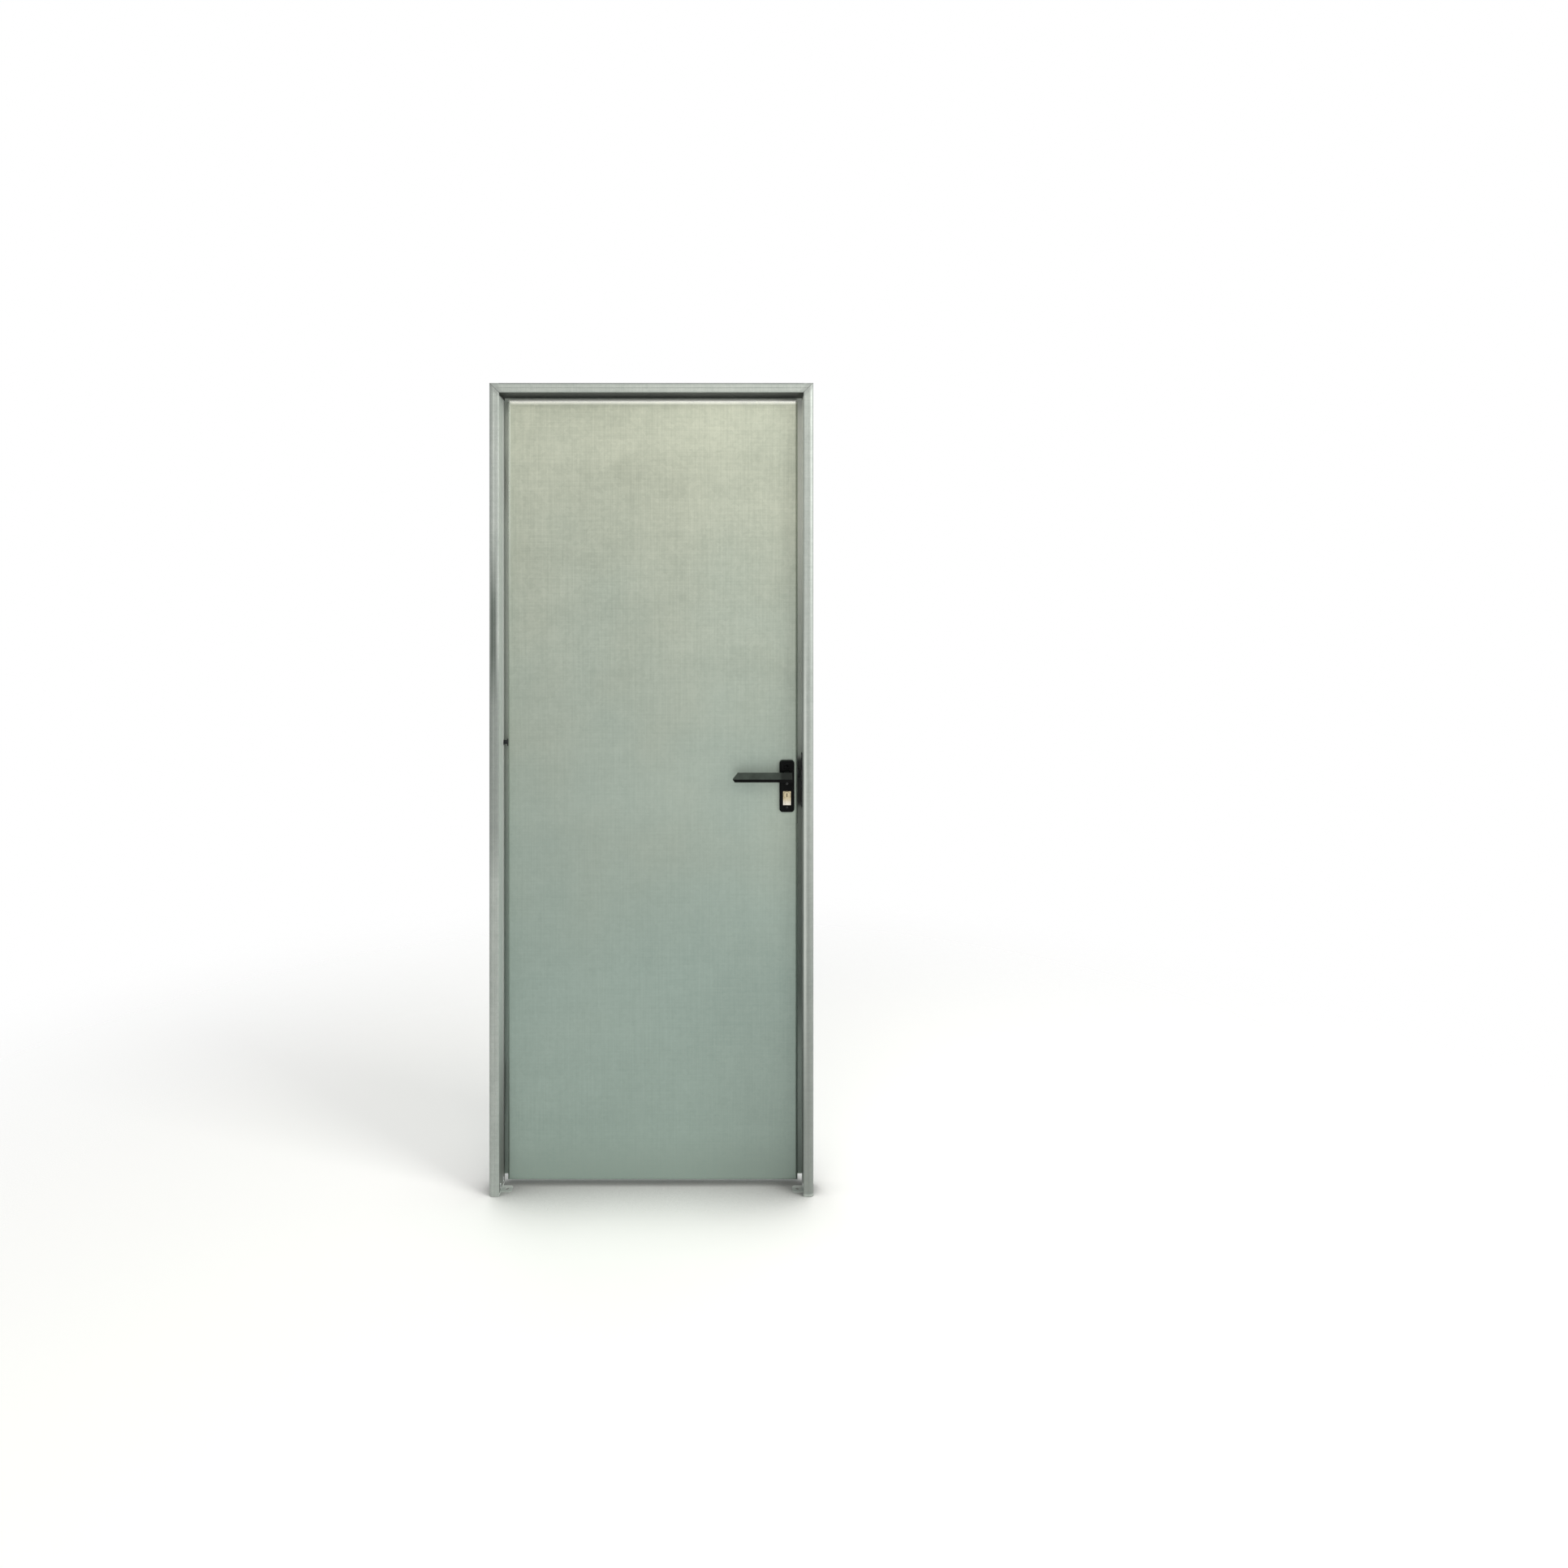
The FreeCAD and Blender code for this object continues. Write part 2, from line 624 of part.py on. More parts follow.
def dead_bolt():
    end = leaf_right - BOLT_SET_BACK
    half_y, half_z = BOLT_WIDTH / 2, BOLT_HEIGHT / 2
    low = (end - BOLT_LENGTH, lock_y - half_y, bolt_height - half_z)
    bolt = box(low, (end, lock_y + half_y, bolt_height + half_z))
    return bolt.makeChamfer(BOLT_EDGE, edges_on_plane(bolt, "X", end))


# Handles on the push face, reflected to the pull face
def plate_pocket(face_y, bottom, top):
    """Shallow recess in the front of the plate, between two heights."""
    side = POCKET_WIDTH / 2
    low = (spindle_x - side, face_y - 1, bottom)
    return box(low, (spindle_x + side, face_y + POCKET_DEPTH, top))


def handle_plate():
    """Moulded plate: a bevelled rim, a small pocket over the lever and a long one round the cylinder."""
    top = SPINDLE_HEIGHT + PLATE_RISE
    bottom = top - PLATE_HEIGHT
    half = PLATE_WIDTH / 2
    face_y = leaf_front - PLATE_THICKNESS
    low = (spindle_x - half, face_y, bottom)
    plate = rounded_block(low, (spindle_x + half, leaf_front, top), PLATE_CORNER, Vector(0, 1, 0))
    plate = plate.makeChamfer(PLATE_EDGE, edges_on_plane(plate, "Y", face_y))
    upper = plate_pocket(face_y, SPINDLE_HEIGHT + HUB_BRIDGE, top - POCKET_END)
    lower = plate_pocket(face_y, bottom + POCKET_END, SPINDLE_HEIGHT - HUB_BRIDGE)
    start, length = face_y - 1, PLATE_THICKNESS + 2
    neck = rod((spindle_x, start, SPINDLE_HEIGHT), (0, 1, 0), length, NECK_RADIUS + NECK_CLEARANCE)
    cylinder = euro_profile(spindle_x, start, CYLINDER_CLEARANCE, length)
    return plate.cut(upper).cut(lower).cut(neck).cut(cylinder)


def lever():
    """Straight grip with a faceted front, carried on a round neck from the plate."""
    grip_back = leaf_front - LEVER_STAND_OFF
    grip_front = grip_back - LEVER_DEPTH
    top, foot = LEVER_HEIGHT / 2, -LEVER_HEIGHT / 2
    section = polygon(
        [
            (0, grip_back, foot + LEVER_EDGE),
            (0, grip_front + LEVER_FOOT_SLOPE, foot),
            (0, grip_front, -LEVER_RIDGE),
            (0, grip_front + LEVER_TOP_SLOPE, top),
            (0, grip_back, top - LEVER_EDGE),
        ]
    )
    hub_end = NECK_RADIUS + LEVER_EDGE
    grip = section.extrude(Vector(LEVER_LENGTH + hub_end, 0, 0))
    grip.translate(Vector(-LEVER_LENGTH, 0, 0))
    cheek = polygon(
        [
            (-LEVER_LENGTH, 0, -LEVER_RIDGE),
            (LEVER_TIP_TOP - LEVER_LENGTH, 0, top),
            (hub_end, 0, top),
            (hub_end, 0, foot),
            (LEVER_TIP_FOOT - LEVER_LENGTH, 0, foot),
        ]
    )
    cheek.translate(Vector(0, grip_front - 1, 0))
    grip = grip.common(cheek.extrude(Vector(0, LEVER_DEPTH + 2, 0)))
    lengthwise = [edge for edge in grip.Edges if edge.BoundBox.XLength > LEVER_LENGTH / 2]
    grip = grip.makeFillet(LEVER_EDGE, lengthwise)
    neck_start = leaf_front - SPINDLE_CLEARANCE
    neck_length = LEVER_STAND_OFF + LEVER_DEPTH / 2
    neck = rod((0, neck_start, 0), (0, -1, 0), neck_length, NECK_RADIUS)
    whole = grip.fuse(neck).removeSplitter()
    half = SPINDLE_SIZE / 2 + SPINDLE_CLEARANCE
    socket_end = leaf_front - SPINDLE_GRIP - SPINDLE_CLEARANCE
    whole = whole.cut(box((-half, socket_end, -half), (half, leaf_front, half)))
    whole.translate(Vector(spindle_x, 0, SPINDLE_HEIGHT))
    return whole


def spindle():
    half = SPINDLE_SIZE / 2
    low = (spindle_x - half, leaf_front - SPINDLE_GRIP, SPINDLE_HEIGHT - half)
    return box(low, (spindle_x + half, leaf_back + SPINDLE_GRIP, SPINDLE_HEIGHT + half))


def lock_cylinder():
    """Euro-profile body through both plates, bored for a plug at each end."""
    reach = PLATE_THICKNESS + CYLINDER_PROUD
    start = leaf_front - reach
    length = LEAF_THICKNESS + 2 * reach
    body = euro_profile(spindle_x, start, 0, length)
    bore = rod((spindle_x, start, cylinder_height), (0, 1, 0), PLUG_LENGTH, PLUG_RADIUS + PLUG_CLEARANCE)
    return body.cut(bore).cut(mirrored_y(bore, leaf_middle))


def cylinder_plug():
    """Turning core with its keyway, at the push face."""
    start = (spindle_x, leaf_front - PLATE_THICKNESS - CYLINDER_PROUD, cylinder_height)
    plug = rod(start, (0, 1, 0), PLUG_LENGTH - PLUG_CLEARANCE, PLUG_RADIUS)
    half_y, half_z = KEYWAY_WIDTH / 2, KEYWAY_HEIGHT / 2
    low = (spindle_x - half_y, start[1] - 1, cylinder_height - half_z)
    keyway = box(low, (spindle_x + half_y, start[1] + KEYWAY_DEPTH, cylinder_height + half_z))
    return plug.cut(keyway)


def build():
    os.makedirs("parts", exist_ok=True)
    save("hinge_jamb", hinge_jamb())
    save("lock_jamb", lock_jamb())
    save("hinge_foot_tab", foot_tab())
    save("lock_foot_tab", across_doorway(foot_tab()))
    save("frame_head", frame_head())
    anchors = [wall_anchor(height) for height in anchor_heights()]
    save("hinge_jamb_anchors", *anchors)
    save("lock_jamb_anchors", *[across_doorway(anchor) for anchor in anchors])
    save("strike_plate", strike_plate())
    for place, height in hinge_heights().items():
        save(place + "_hinge_frame_flag", frame_flag(height))
        save(place + "_hinge_leaf_flag", leaf_flag(height))
        save(place + "_hinge_pin", hinge_pin(height))
        save(place + "_hinge_washer", hinge_washer(height))
    save("front_skin", front_skin())
    save("back_skin", back_skin())
    save("dog_bolt", dog_bolt())
    save("lock_forend", lock_forend())
    save("lock_case", lock_case())
    save("latch_bolt", latch_bolt())
    save("dead_bolt", dead_bolt())
    for face, shape in {"plate": handle_plate(), "lever": lever(), "plug": cylinder_plug()}.items():
        save("push_" + face, shape)
        save("pull_" + face, mirrored_y(shape, leaf_middle))
    save("spindle", spindle())
    save("lock_cylinder", lock_cylinder())


build()
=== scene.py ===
# %% [markdown]
# # A galvanised steel utility door
# The door is a single leaf of folded sheet in a three-sided folded frame, with a black nylon
# lever set and a brass lock cylinder. Its solids come ready made from the CAD model, so this
# script gives them their finishes, adds the small fixings and welds, and sets up a plain studio.

import json
import math

import bmesh
import bpy
from mathutils import Matrix, Vector


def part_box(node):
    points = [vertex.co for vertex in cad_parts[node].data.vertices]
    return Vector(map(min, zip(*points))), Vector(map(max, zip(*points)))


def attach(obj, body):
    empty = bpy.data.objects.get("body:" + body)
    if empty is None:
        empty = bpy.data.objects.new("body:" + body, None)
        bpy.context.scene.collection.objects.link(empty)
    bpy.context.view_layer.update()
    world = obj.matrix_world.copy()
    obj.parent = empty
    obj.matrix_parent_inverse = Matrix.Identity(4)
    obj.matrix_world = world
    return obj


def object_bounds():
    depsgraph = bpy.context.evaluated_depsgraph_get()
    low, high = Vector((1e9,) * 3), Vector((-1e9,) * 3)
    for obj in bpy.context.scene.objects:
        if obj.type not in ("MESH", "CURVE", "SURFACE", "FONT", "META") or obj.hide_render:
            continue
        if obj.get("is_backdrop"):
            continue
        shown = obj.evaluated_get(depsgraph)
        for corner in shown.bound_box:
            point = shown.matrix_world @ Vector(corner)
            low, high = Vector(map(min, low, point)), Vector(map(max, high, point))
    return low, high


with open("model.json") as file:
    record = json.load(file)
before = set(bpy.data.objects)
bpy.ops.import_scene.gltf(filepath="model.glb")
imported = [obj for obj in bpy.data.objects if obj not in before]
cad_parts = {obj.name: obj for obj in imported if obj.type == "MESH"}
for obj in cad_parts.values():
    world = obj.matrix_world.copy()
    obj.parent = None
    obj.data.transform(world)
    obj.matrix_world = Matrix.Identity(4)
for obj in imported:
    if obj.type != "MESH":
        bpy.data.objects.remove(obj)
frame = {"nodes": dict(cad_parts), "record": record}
cad_low, cad_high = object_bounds()
nodes = frame["nodes"]
slot_of = {part["node"]: part["material_slot"] for part in frame["record"]["subparts"]}
cad_size = cad_high - cad_low
print(f"{len(nodes)} nodes in {cad_size.x:.3f} x {cad_size.y:.3f} x {cad_size.z:.3f} m")

# %% [markdown]
# ## Shader maths as Python
# A finish is a tree of nodes, and long trees are hard to read as links. One small class stands
# for an output socket, and arithmetic on it adds the Math nodes. A second class holds the tree
# and makes every other node in one way: its type, its settings, then its sockets.

# %% Wires
class Wire:
    """One output socket. Arithmetic on it adds Math nodes to the same tree."""

    def __init__(self, bench, socket):
        self.bench = bench
        self.socket = socket

    def other(self, name):
        return Wire(self.bench, self.socket.node.outputs[name])

    def math(self, operation, first, second=0.0):
        return self.bench.node("ShaderNodeMath", {"operation": operation}, {0: first, 1: second})

    def larger(self, value):
        return self.math("MAXIMUM", self, value)

    def smaller(self, value):
        return self.math("MINIMUM", self, value)

    def __add__(self, value):
        return self.math("ADD", self, value)

    __radd__ = __add__

    def __sub__(self, value):
        return self.math("SUBTRACT", self, value)

    def __rsub__(self, value):
        return self.math("SUBTRACT", value, self)

    def __mul__(self, value):
        return self.math("MULTIPLY", self, value)

    __rmul__ = __mul__

    def __abs__(self):
        return self.math("ABSOLUTE", self)


print("wires know", [name for name in vars(Wire) if not name.startswith("_")])

# %% [markdown]
# ## The bench
# Marks on the door follow from where they are: how high, how far in, how near an edge or a fold.
# So besides noise the bench offers soft steps between two values, and masks for edges, folds and
# sheltered faces. Painted masks would do the same, but they would need image files.

# %% Benches
EDGE_TURN = (0.01, 0.18)
FACING_BACK = (0.3, 0.8)


class Bench:
    """A node tree that is being wired up."""

    def __init__(self, tree):
        tree.nodes.clear()
        self.tree = tree

    def node(self, kind, settings={}, sockets={}, output=0):
        made = self.tree.nodes.new(kind)
        for name, value in settings.items():
            setattr(made, name, value)
        for name, value in sockets.items():
            if isinstance(value, Wire):
                self.tree.links.new(value.socket, made.inputs[name])
            else:
                made.inputs[name].default_value = value
        return Wire(self, made.outputs[output]) if made.outputs else None

    def mix(self, factor, first, second, blend="MIX"):
        settings = {"data_type": "RGBA", "blend_type": blend}
        return self.node("ShaderNodeMix", settings, {0: factor, 6: first, 7: second}, 2)

    def parts(self, vector):
        """The X, Y and Z of a vector."""
        x = self.node("ShaderNodeSeparateXYZ", {}, {0: vector})
        return x, x.other("Y"), x.other("Z")

    def ramp(self, value, low, high):
        """0 below the first value and 1 above the second, with a smooth step between."""
        sockets = {"Value": value, "From Min": low, "From Max": high}
        return self.node("ShaderNodeMapRange", {"interpolation_type": "SMOOTHSTEP"}, sockets)

    def below(self, value, low, high):
        """1 below the first value and 0 above the second."""
        return 1 - self.ramp(value, low, high)

    def stretch(self, value, start, full, fading, end):
        """1 from the second value to the third, and 0 before the first and after the fourth."""
        return self.ramp(value, start, full) * self.below(value, fading, end)

    def noise(self, place, scale, detail=3.0):
        """Soft random value around 0. The scale is waves per metre, one number or one per axis."""
        if isinstance(scale, tuple):
            sockets = {0: place, 1: scale}
            place = self.node("ShaderNodeVectorMath", {"operation": "MULTIPLY"}, sockets)
            scale = 1.0
        sockets = {"Vector": place, "Scale": scale, "Detail": detail}
        return self.node("ShaderNodeTexNoise", {}, sockets) - 0.5

    def cells(self, place, size):
        """A random value around 0 for each cell of a pattern with cells of about one size."""
        sockets = {"Vector": place, "Scale": 1 / size}
        coloured = self.node("ShaderNodeTexVoronoi", {}, sockets, "Color")
        return self.node("ShaderNodeSeparateColor", {}, {"Color": coloured}) - 0.5

    def edge(self, radius):
        """1 along the edges of a piece and 0 on its flats."""
        rounded = self.node("ShaderNodeBevel", {"samples": 6}, {"Radius": radius})
        flat = self.node("ShaderNodeNewGeometry", {}, {}, "Normal")
        settings = {"operation": "DOT_PRODUCT"}
        match = self.node("ShaderNodeVectorMath", settings, {0: rounded, 1: flat}, "Value")
        return self.ramp(1 - match, *EDGE_TURN)

    def sheltered(self, place, start, end):
        """1 beyond a depth, except on faces that look backward out of the doorway."""
        _, backward, _ = self.parts(self.node("ShaderNodeTexCoord", {}, {}, "Normal"))
        _, depth, _ = self.parts(place)
        return self.ramp(depth, start, end) * self.below(backward, *FACING_BACK)

    def openness(self, reach, **settings):
        """1 in the open and less where other faces stand within reach."""
        settings = {"samples": 8, **settings}
        return self.node("ShaderNodeAmbientOcclusion", settings, {"Distance": reach}, "AO")

    def corners(self, reach):
        """1 deep in the folds of a piece and 0 in the open, looking only at the piece itself."""
        return 1 - self.openness(reach, only_local=True)


def screen_colour(red, green, blue):
    """A colour as it looks on a screen, 0 to 255, in Blender's linear values."""
    shares = [value / 255 for value in (red, green, blue)]
    curved = [s / 12.92 if s < 0.04045 else ((s + 0.055) / 1.055) ** 2.4 for s in shares]
    return (*curved, 1.0)


print("mid grey on screen is", round(screen_colour(128, 128, 128)[0], 3), "in linear values")

# %% [markdown]
# ## Starting and closing a finish
# Every finish starts from the place on the piece in metres, so its marks keep their real size
# and travel with the piece. Every finish ends in one principled shader, whose bump takes a
# height in metres too. A folded or moulded edge is never quite sharp, so the shader also rounds
# the edges by a fraction of a millimetre.

# %% Finish helpers
EDGE_ROUNDING = 0.0004


def start_finish(name):
    material = bpy.data.materials.new(name)
    material.use_nodes = True
    bench = Bench(material.node_tree)
    place = bench.node("ShaderNodeTexCoord", {}, {}, "Object")
    return material, bench, place


def close_finish(bench, base, roughness, height, metallic, **more):
    soft = bench.node("ShaderNodeBevel", {"samples": 4}, {"Radius": EDGE_ROUNDING})
    relief = {"Height": height, "Distance": 1.0, "Strength": 1.0, "Normal": soft}
    normal = bench.node("ShaderNodeBump", {}, relief)
    sockets = {"Base Color": base, "Roughness": roughness, "Metallic": metallic, "Normal": normal}
    shader = bench.node("ShaderNodeBsdfPrincipled", {}, {**sockets, **more})
    bench.node("ShaderNodeOutputMaterial", {}, {"Surface": shader})


finishes = {}
print("finishes will be kept under the record's", len(set(slot_of.values())), "slots")

# %% [markdown]
# ## Zinc
# Hot-dip zinc freezes into flat crystals, the spangle, and rolling leaves fine lines in it. On
# this door both are faint: the sheet looks matt, with soft clouds and level bands. A photograph
# wrapped on the leaf would fix the light in it, so each mark is made from noise at its real size
# and only tints the zinc.

# %% Zinc tone
SPANGLE_SIZE = 0.009
FINE_SPANGLE_SIZE = 0.0035
FEATHER_SCALE = 140.0
FEATHER_REACH = 0.006
CLOUD_SCALE = 2.6
MOTTLE_SCALE = 26.0
UPRIGHT_LINES = (330.0, 330.0, 7.0)
LEVEL_LINES = (6.0, 6.0, 260.0)
LEVEL_BANDS = (1.2, 1.2, 9.0)
TONE_SPAN = (-0.32, 0.32)


def zinc_tone(bench, place):
    """How light the zinc is at a place, around 0, and the height of its surface in metres."""
    sockets = {"Vector": place, "Scale": FEATHER_SCALE}
    drift = bench.node("ShaderNodeTexNoise", {}, sockets, "Color")
    sockets = {0: drift, 1: (FEATHER_REACH,) * 3, 2: place}
    feathered = bench.node("ShaderNodeVectorMath", {"operation": "MULTIPLY_ADD"}, sockets)
    spangle = bench.cells(feathered, SPANGLE_SIZE)
    fine = bench.cells(feathered, FINE_SPANGLE_SIZE)
    clouds = bench.noise(place, CLOUD_SCALE, 4.0)
    mottle = bench.noise(place, MOTTLE_SCALE, 5.0)
    bands = bench.noise(place, LEVEL_BANDS, 2.0)
    upright_lines = bench.noise(place, UPRIGHT_LINES, 2.0)
    level_lines = bench.noise(place, LEVEL_LINES, 2.0)
    lines = 0.24 * upright_lines + 0.17 * level_lines
    tone = 0.30 * clouds + 0.14 * mottle + 0.08 * spangle + 0.04 * fine + lines + 0.24 * bands
    height = 0.00003 * spangle + 0.00004 * mottle + 0.00003 * lines + 0.0011 * clouds
    return tone, height


print("zinc with a spangle of", SPANGLE_SIZE * 1000, "mm")

# %% [markdown]
# ## The leaf's sheet
# The leaf is painted warmer and lighter towards the top and cooler and darker towards the foot,
# a painted fall-off of the light, and painted darker towards the lock-side foot as painted shade.
# Rain has dried in splashes along the foot. Painted highlights run along its top fold and the
# upper part of its hinge-side fold. Inside the rebate the zinc is painted paler as painted light,
# most of all high up on the lock side. Lower down beside the leaf that gap is darker, partly dirt
# and partly painted shade, and at the latch it is black with grease. All of these are masks from
# height, depth and distance to a fold, in metres on the real door.

# %% Leaf marks
leaf_low, leaf_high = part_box("front_skin")
LEAF_FRONT = leaf_low.y
REBATE_START = (LEAF_FRONT + 0.006, LEAF_FRONT + 0.010)
FRONT_FOLD = (LEAF_FRONT + 0.004, LEAF_FRONT + 0.008)
UPPER_FOLD = (0.006, 0.018)
UPPER_BRIM = (0.006, 0.009)
SIDE_FOLD = (0.003, 0.009)
SIDE_FOLD_LEVELS = (1.1, 1.8)
LATCH_LEVEL = 1.010
GREASE_REACH = (0.050, 0.072)
LOCK_EDGE = (-0.003, 0.0)
BESIDE_LEAF = (0.001, 0.003)
GAP_DIRT_AND_SHADE_LEVELS = (0.3, 0.5, 0.9, 1.2)
PALE_LEVELS = (0.5, 1.7)
PAINTED_LIGHT_LEVELS = (1.3, 1.75)
REBATE_PAINTED_LIGHT = screen_colour(228, 233, 228)
GAP_PAINTED_LIGHT = screen_colour(248, 250, 244)
FOLD_HIGHLIGHT_ZINC = screen_colour(250, 252, 246)
GAP_DIRT_AND_SHADE = screen_colour(50, 55, 51)
GREASE = screen_colour(20, 23, 21)


def leaf_folds(bench, place):
    """Masks for the painted highlights along the leaf's folds and for the matt brim along its top.
    """
    across, depth, level = bench.parts(place)
    upper = bench.below(leaf_high.z - level, *UPPER_FOLD)
    side = bench.below(across - leaf_low.x, *SIDE_FOLD)
    side = side * (0.1 + 0.7 * bench.ramp(level, *SIDE_FOLD_LEVELS))
    brim = upper * bench.below(leaf_high.z - level, *UPPER_BRIM)
    return upper.larger(side) * bench.below(depth, *FRONT_FOLD), brim


def leaf_rebate(bench, place, base):
    """The sheet's colour with the painted light, the dirt and painted shade, and the grease inside
    the rebate, and how much metal those leave.
    """
    across, _, level = bench.parts(place)
    past_edge = across - leaf_high.x
    shelter = bench.sheltered(place, *REBATE_START)
    pale = shelter * (0.15 + 0.45 * bench.ramp(level, *PALE_LEVELS))
    painted_light = shelter * bench.ramp(level, *PAINTED_LIGHT_LEVELS) * bench.ramp(past_edge, *LOCK_EDGE)
    dirt_and_shade = shelter * bench.stretch(level, *GAP_DIRT_AND_SHADE_LEVELS) * bench.ramp(past_edge, *BESIDE_LEAF)
    grease = bench.below(abs(level - LATCH_LEVEL), *GREASE_REACH)
    grease = shelter * grease * bench.ramp(past_edge, *LOCK_EDGE)
    # Painted light: the rebate's zinc is painted paler, more so higher up.
    base = bench.mix(pale, base, REBATE_PAINTED_LIGHT)
    # Painted light high up on the lock side of the rebate.
    base = bench.mix(0.95 * painted_light, base, GAP_PAINTED_LIGHT)
    # Partly dirt and partly painted shade beside the leaf, lower down.
    base = bench.mix(0.5 * dirt_and_shade, base, GAP_DIRT_AND_SHADE)
    base = bench.mix(0.9 * grease, base, GREASE)
    return base, 0.9 - 0.8 * pale - 0.4 * painted_light - 0.3 * grease


print(f"the leaf's sheet starts {LEAF_FRONT * 1000:.1f} mm deep, its latch is {LATCH_LEVEL} m up")

# %% Leaf finish
CLEAR_LEVELS = (0.9, 1.6)
WARM_LEVELS = (0.15 * cad_high.z, cad_high.z)
WARM_SCALE = 3.1
SPLASH_LEVELS = (0.01, 0.16)
SPLASH_TONES = (-0.2, 0.3)
LOCK_FOOT_ACROSS = (0.40, 0.72)
LOCK_FOOT_LEVELS = (0.1, 0.8)
LEAF_LIGHT = screen_colour(194, 200, 198)
LEAF_DARK = screen_colour(163, 170, 168)
WARM_PAINTED_LIGHT = screen_colour(255, 253, 236)
COOL_PAINTED_SHADE = screen_colour(232, 246, 238)
DRIED_SPLASH = screen_colour(104, 100, 86)
FOOT_SHADE = screen_colour(96, 104, 100)


def leaf_sheet(name):
    material, bench, place = start_finish(name)
    across, _, level = bench.parts(place)
    tone, height = zinc_tone(bench, place)
    tone = tone * (0.65 + 0.45 * bench.ramp(level, *CLEAR_LEVELS))
    base = bench.mix(bench.ramp(tone, *TONE_SPAN), LEAF_DARK, LEAF_LIGHT)
    # Painted light: warmer and lighter towards the top, cooler and darker towards the foot.
    warmth = level + 0.9 * bench.noise(place, WARM_SCALE, 2.0)
    painted_fall_off = bench.mix(bench.ramp(warmth, *WARM_LEVELS), COOL_PAINTED_SHADE, WARM_PAINTED_LIGHT)
    base = bench.mix(1.0, base, painted_fall_off, "MULTIPLY")
    splash = bench.below(level, *SPLASH_LEVELS) * bench.ramp(tone, *SPLASH_TONES)
    base = bench.mix(0.30 * splash, base, DRIED_SPLASH)
    # Painted shade: darker towards the lock-side foot.
    lock_foot = bench.ramp(across, *LOCK_FOOT_ACROSS) * bench.below(level, *LOCK_FOOT_LEVELS)
    base = bench.mix(0.25 * lock_foot, base, FOOT_SHADE)
    fold, brim = leaf_folds(bench, place)
    # Painted highlight along the top fold and the upper hinge-side fold.
    base = bench.mix(0.8 * fold, base, FOLD_HIGHLIGHT_ZINC)
    base, metallic = leaf_rebate(bench, place, base)
    roughness = 0.47 - 0.22 * tone + 0.15 * splash - 0.27 * fold
    close_finish(bench, base, roughness, height, metallic - 0.7 * brim)
    return material


finishes["galvanised_sheet"] = leaf_sheet("galvanised_sheet")
print("leaf sheet made, splashed up to", SPLASH_LEVELS[1], "m")

# %% [markdown]
# ## The frame's mitres
# The frame is folded from a thicker galvanised sheet and welded at its two upper corners. The
# mitres are ground and sprayed with zinc paint, which leaves a fine line in a dull patch. The
# seam is drawn by distance from the mitre plane, because a real gap would open the joint.

# %% Mitre marks
SEAM_HALF = 0.0006
SEAM_DEPTH = 0.0004
PAINT_REACH = 0.016
PAINT_RAGGED = 0.02
PAINT_SCALE = 160.0
HEAD_DROP = (0.030, 0.034)


def mitre_marks(bench, place):
    """Masks for the head of the frame, for the seam of its mitres and for the paint round it."""
    across, _, level = bench.parts(place)
    drop = cad_high.z - level
    left_mitre = abs(across - cad_low.x - drop)
    right_mitre = abs(cad_high.x - across - drop)
    apart = left_mitre.smaller(right_mitre)
    head = bench.below(drop, *HEAD_DROP)
    seam = bench.below(apart, SEAM_HALF / 2, SEAM_HALF * 2) * head
    ragged = apart + PAINT_RAGGED * bench.noise(place, PAINT_SCALE)
    paint = bench.below(ragged, PAINT_REACH / 2, PAINT_REACH) * head
    return head, seam, paint


print("mitre seam", SEAM_HALF * 2000, "mm wide")

# %% [markdown]
# ## The frame's doorway
# The reveals, the faces that look into the doorway, are painted paler deeper in, painted light
# like the leaf's rebate, and palest high up on the lock side. Low down they are painted darker as
# painted shade, and the underside of the head is painted nearly black as painted shade. The mask
# for all of these is a depth behind the frame's front, between the two jambs.

# %% Doorway marks
DOORWAY_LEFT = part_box("hinge_jamb")[1].x
DOORWAY_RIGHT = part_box("lock_jamb")[0].x
FRAME_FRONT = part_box("hinge_jamb")[0].y
DOORWAY_SPAN = (
    DOORWAY_LEFT - 0.002, DOORWAY_LEFT - 0.001, DOORWAY_RIGHT + 0.001, DOORWAY_RIGHT + 0.002
)
REVEAL_START = (FRAME_FRONT + 0.001, FRAME_FRONT + 0.006)
LOCK_SIDE_ACROSS = (0.5, 0.6)
HINGE_SIDE_ACROSS = (0.1, 0.2)
ABOVE_TAB = (0.004, 0.008)
LOW_SHADE_LEVELS = (0.03, 0.55)
REVEAL_FRONT_ZINC = screen_colour(188, 195, 191)
REVEAL_DEEP_PAINTED_LIGHT = screen_colour(218, 223, 219)
LOW_REVEAL_SHADE = screen_colour(70, 72, 66)
SOFFIT_PAINTED_SHADE = screen_colour(24, 25, 23)


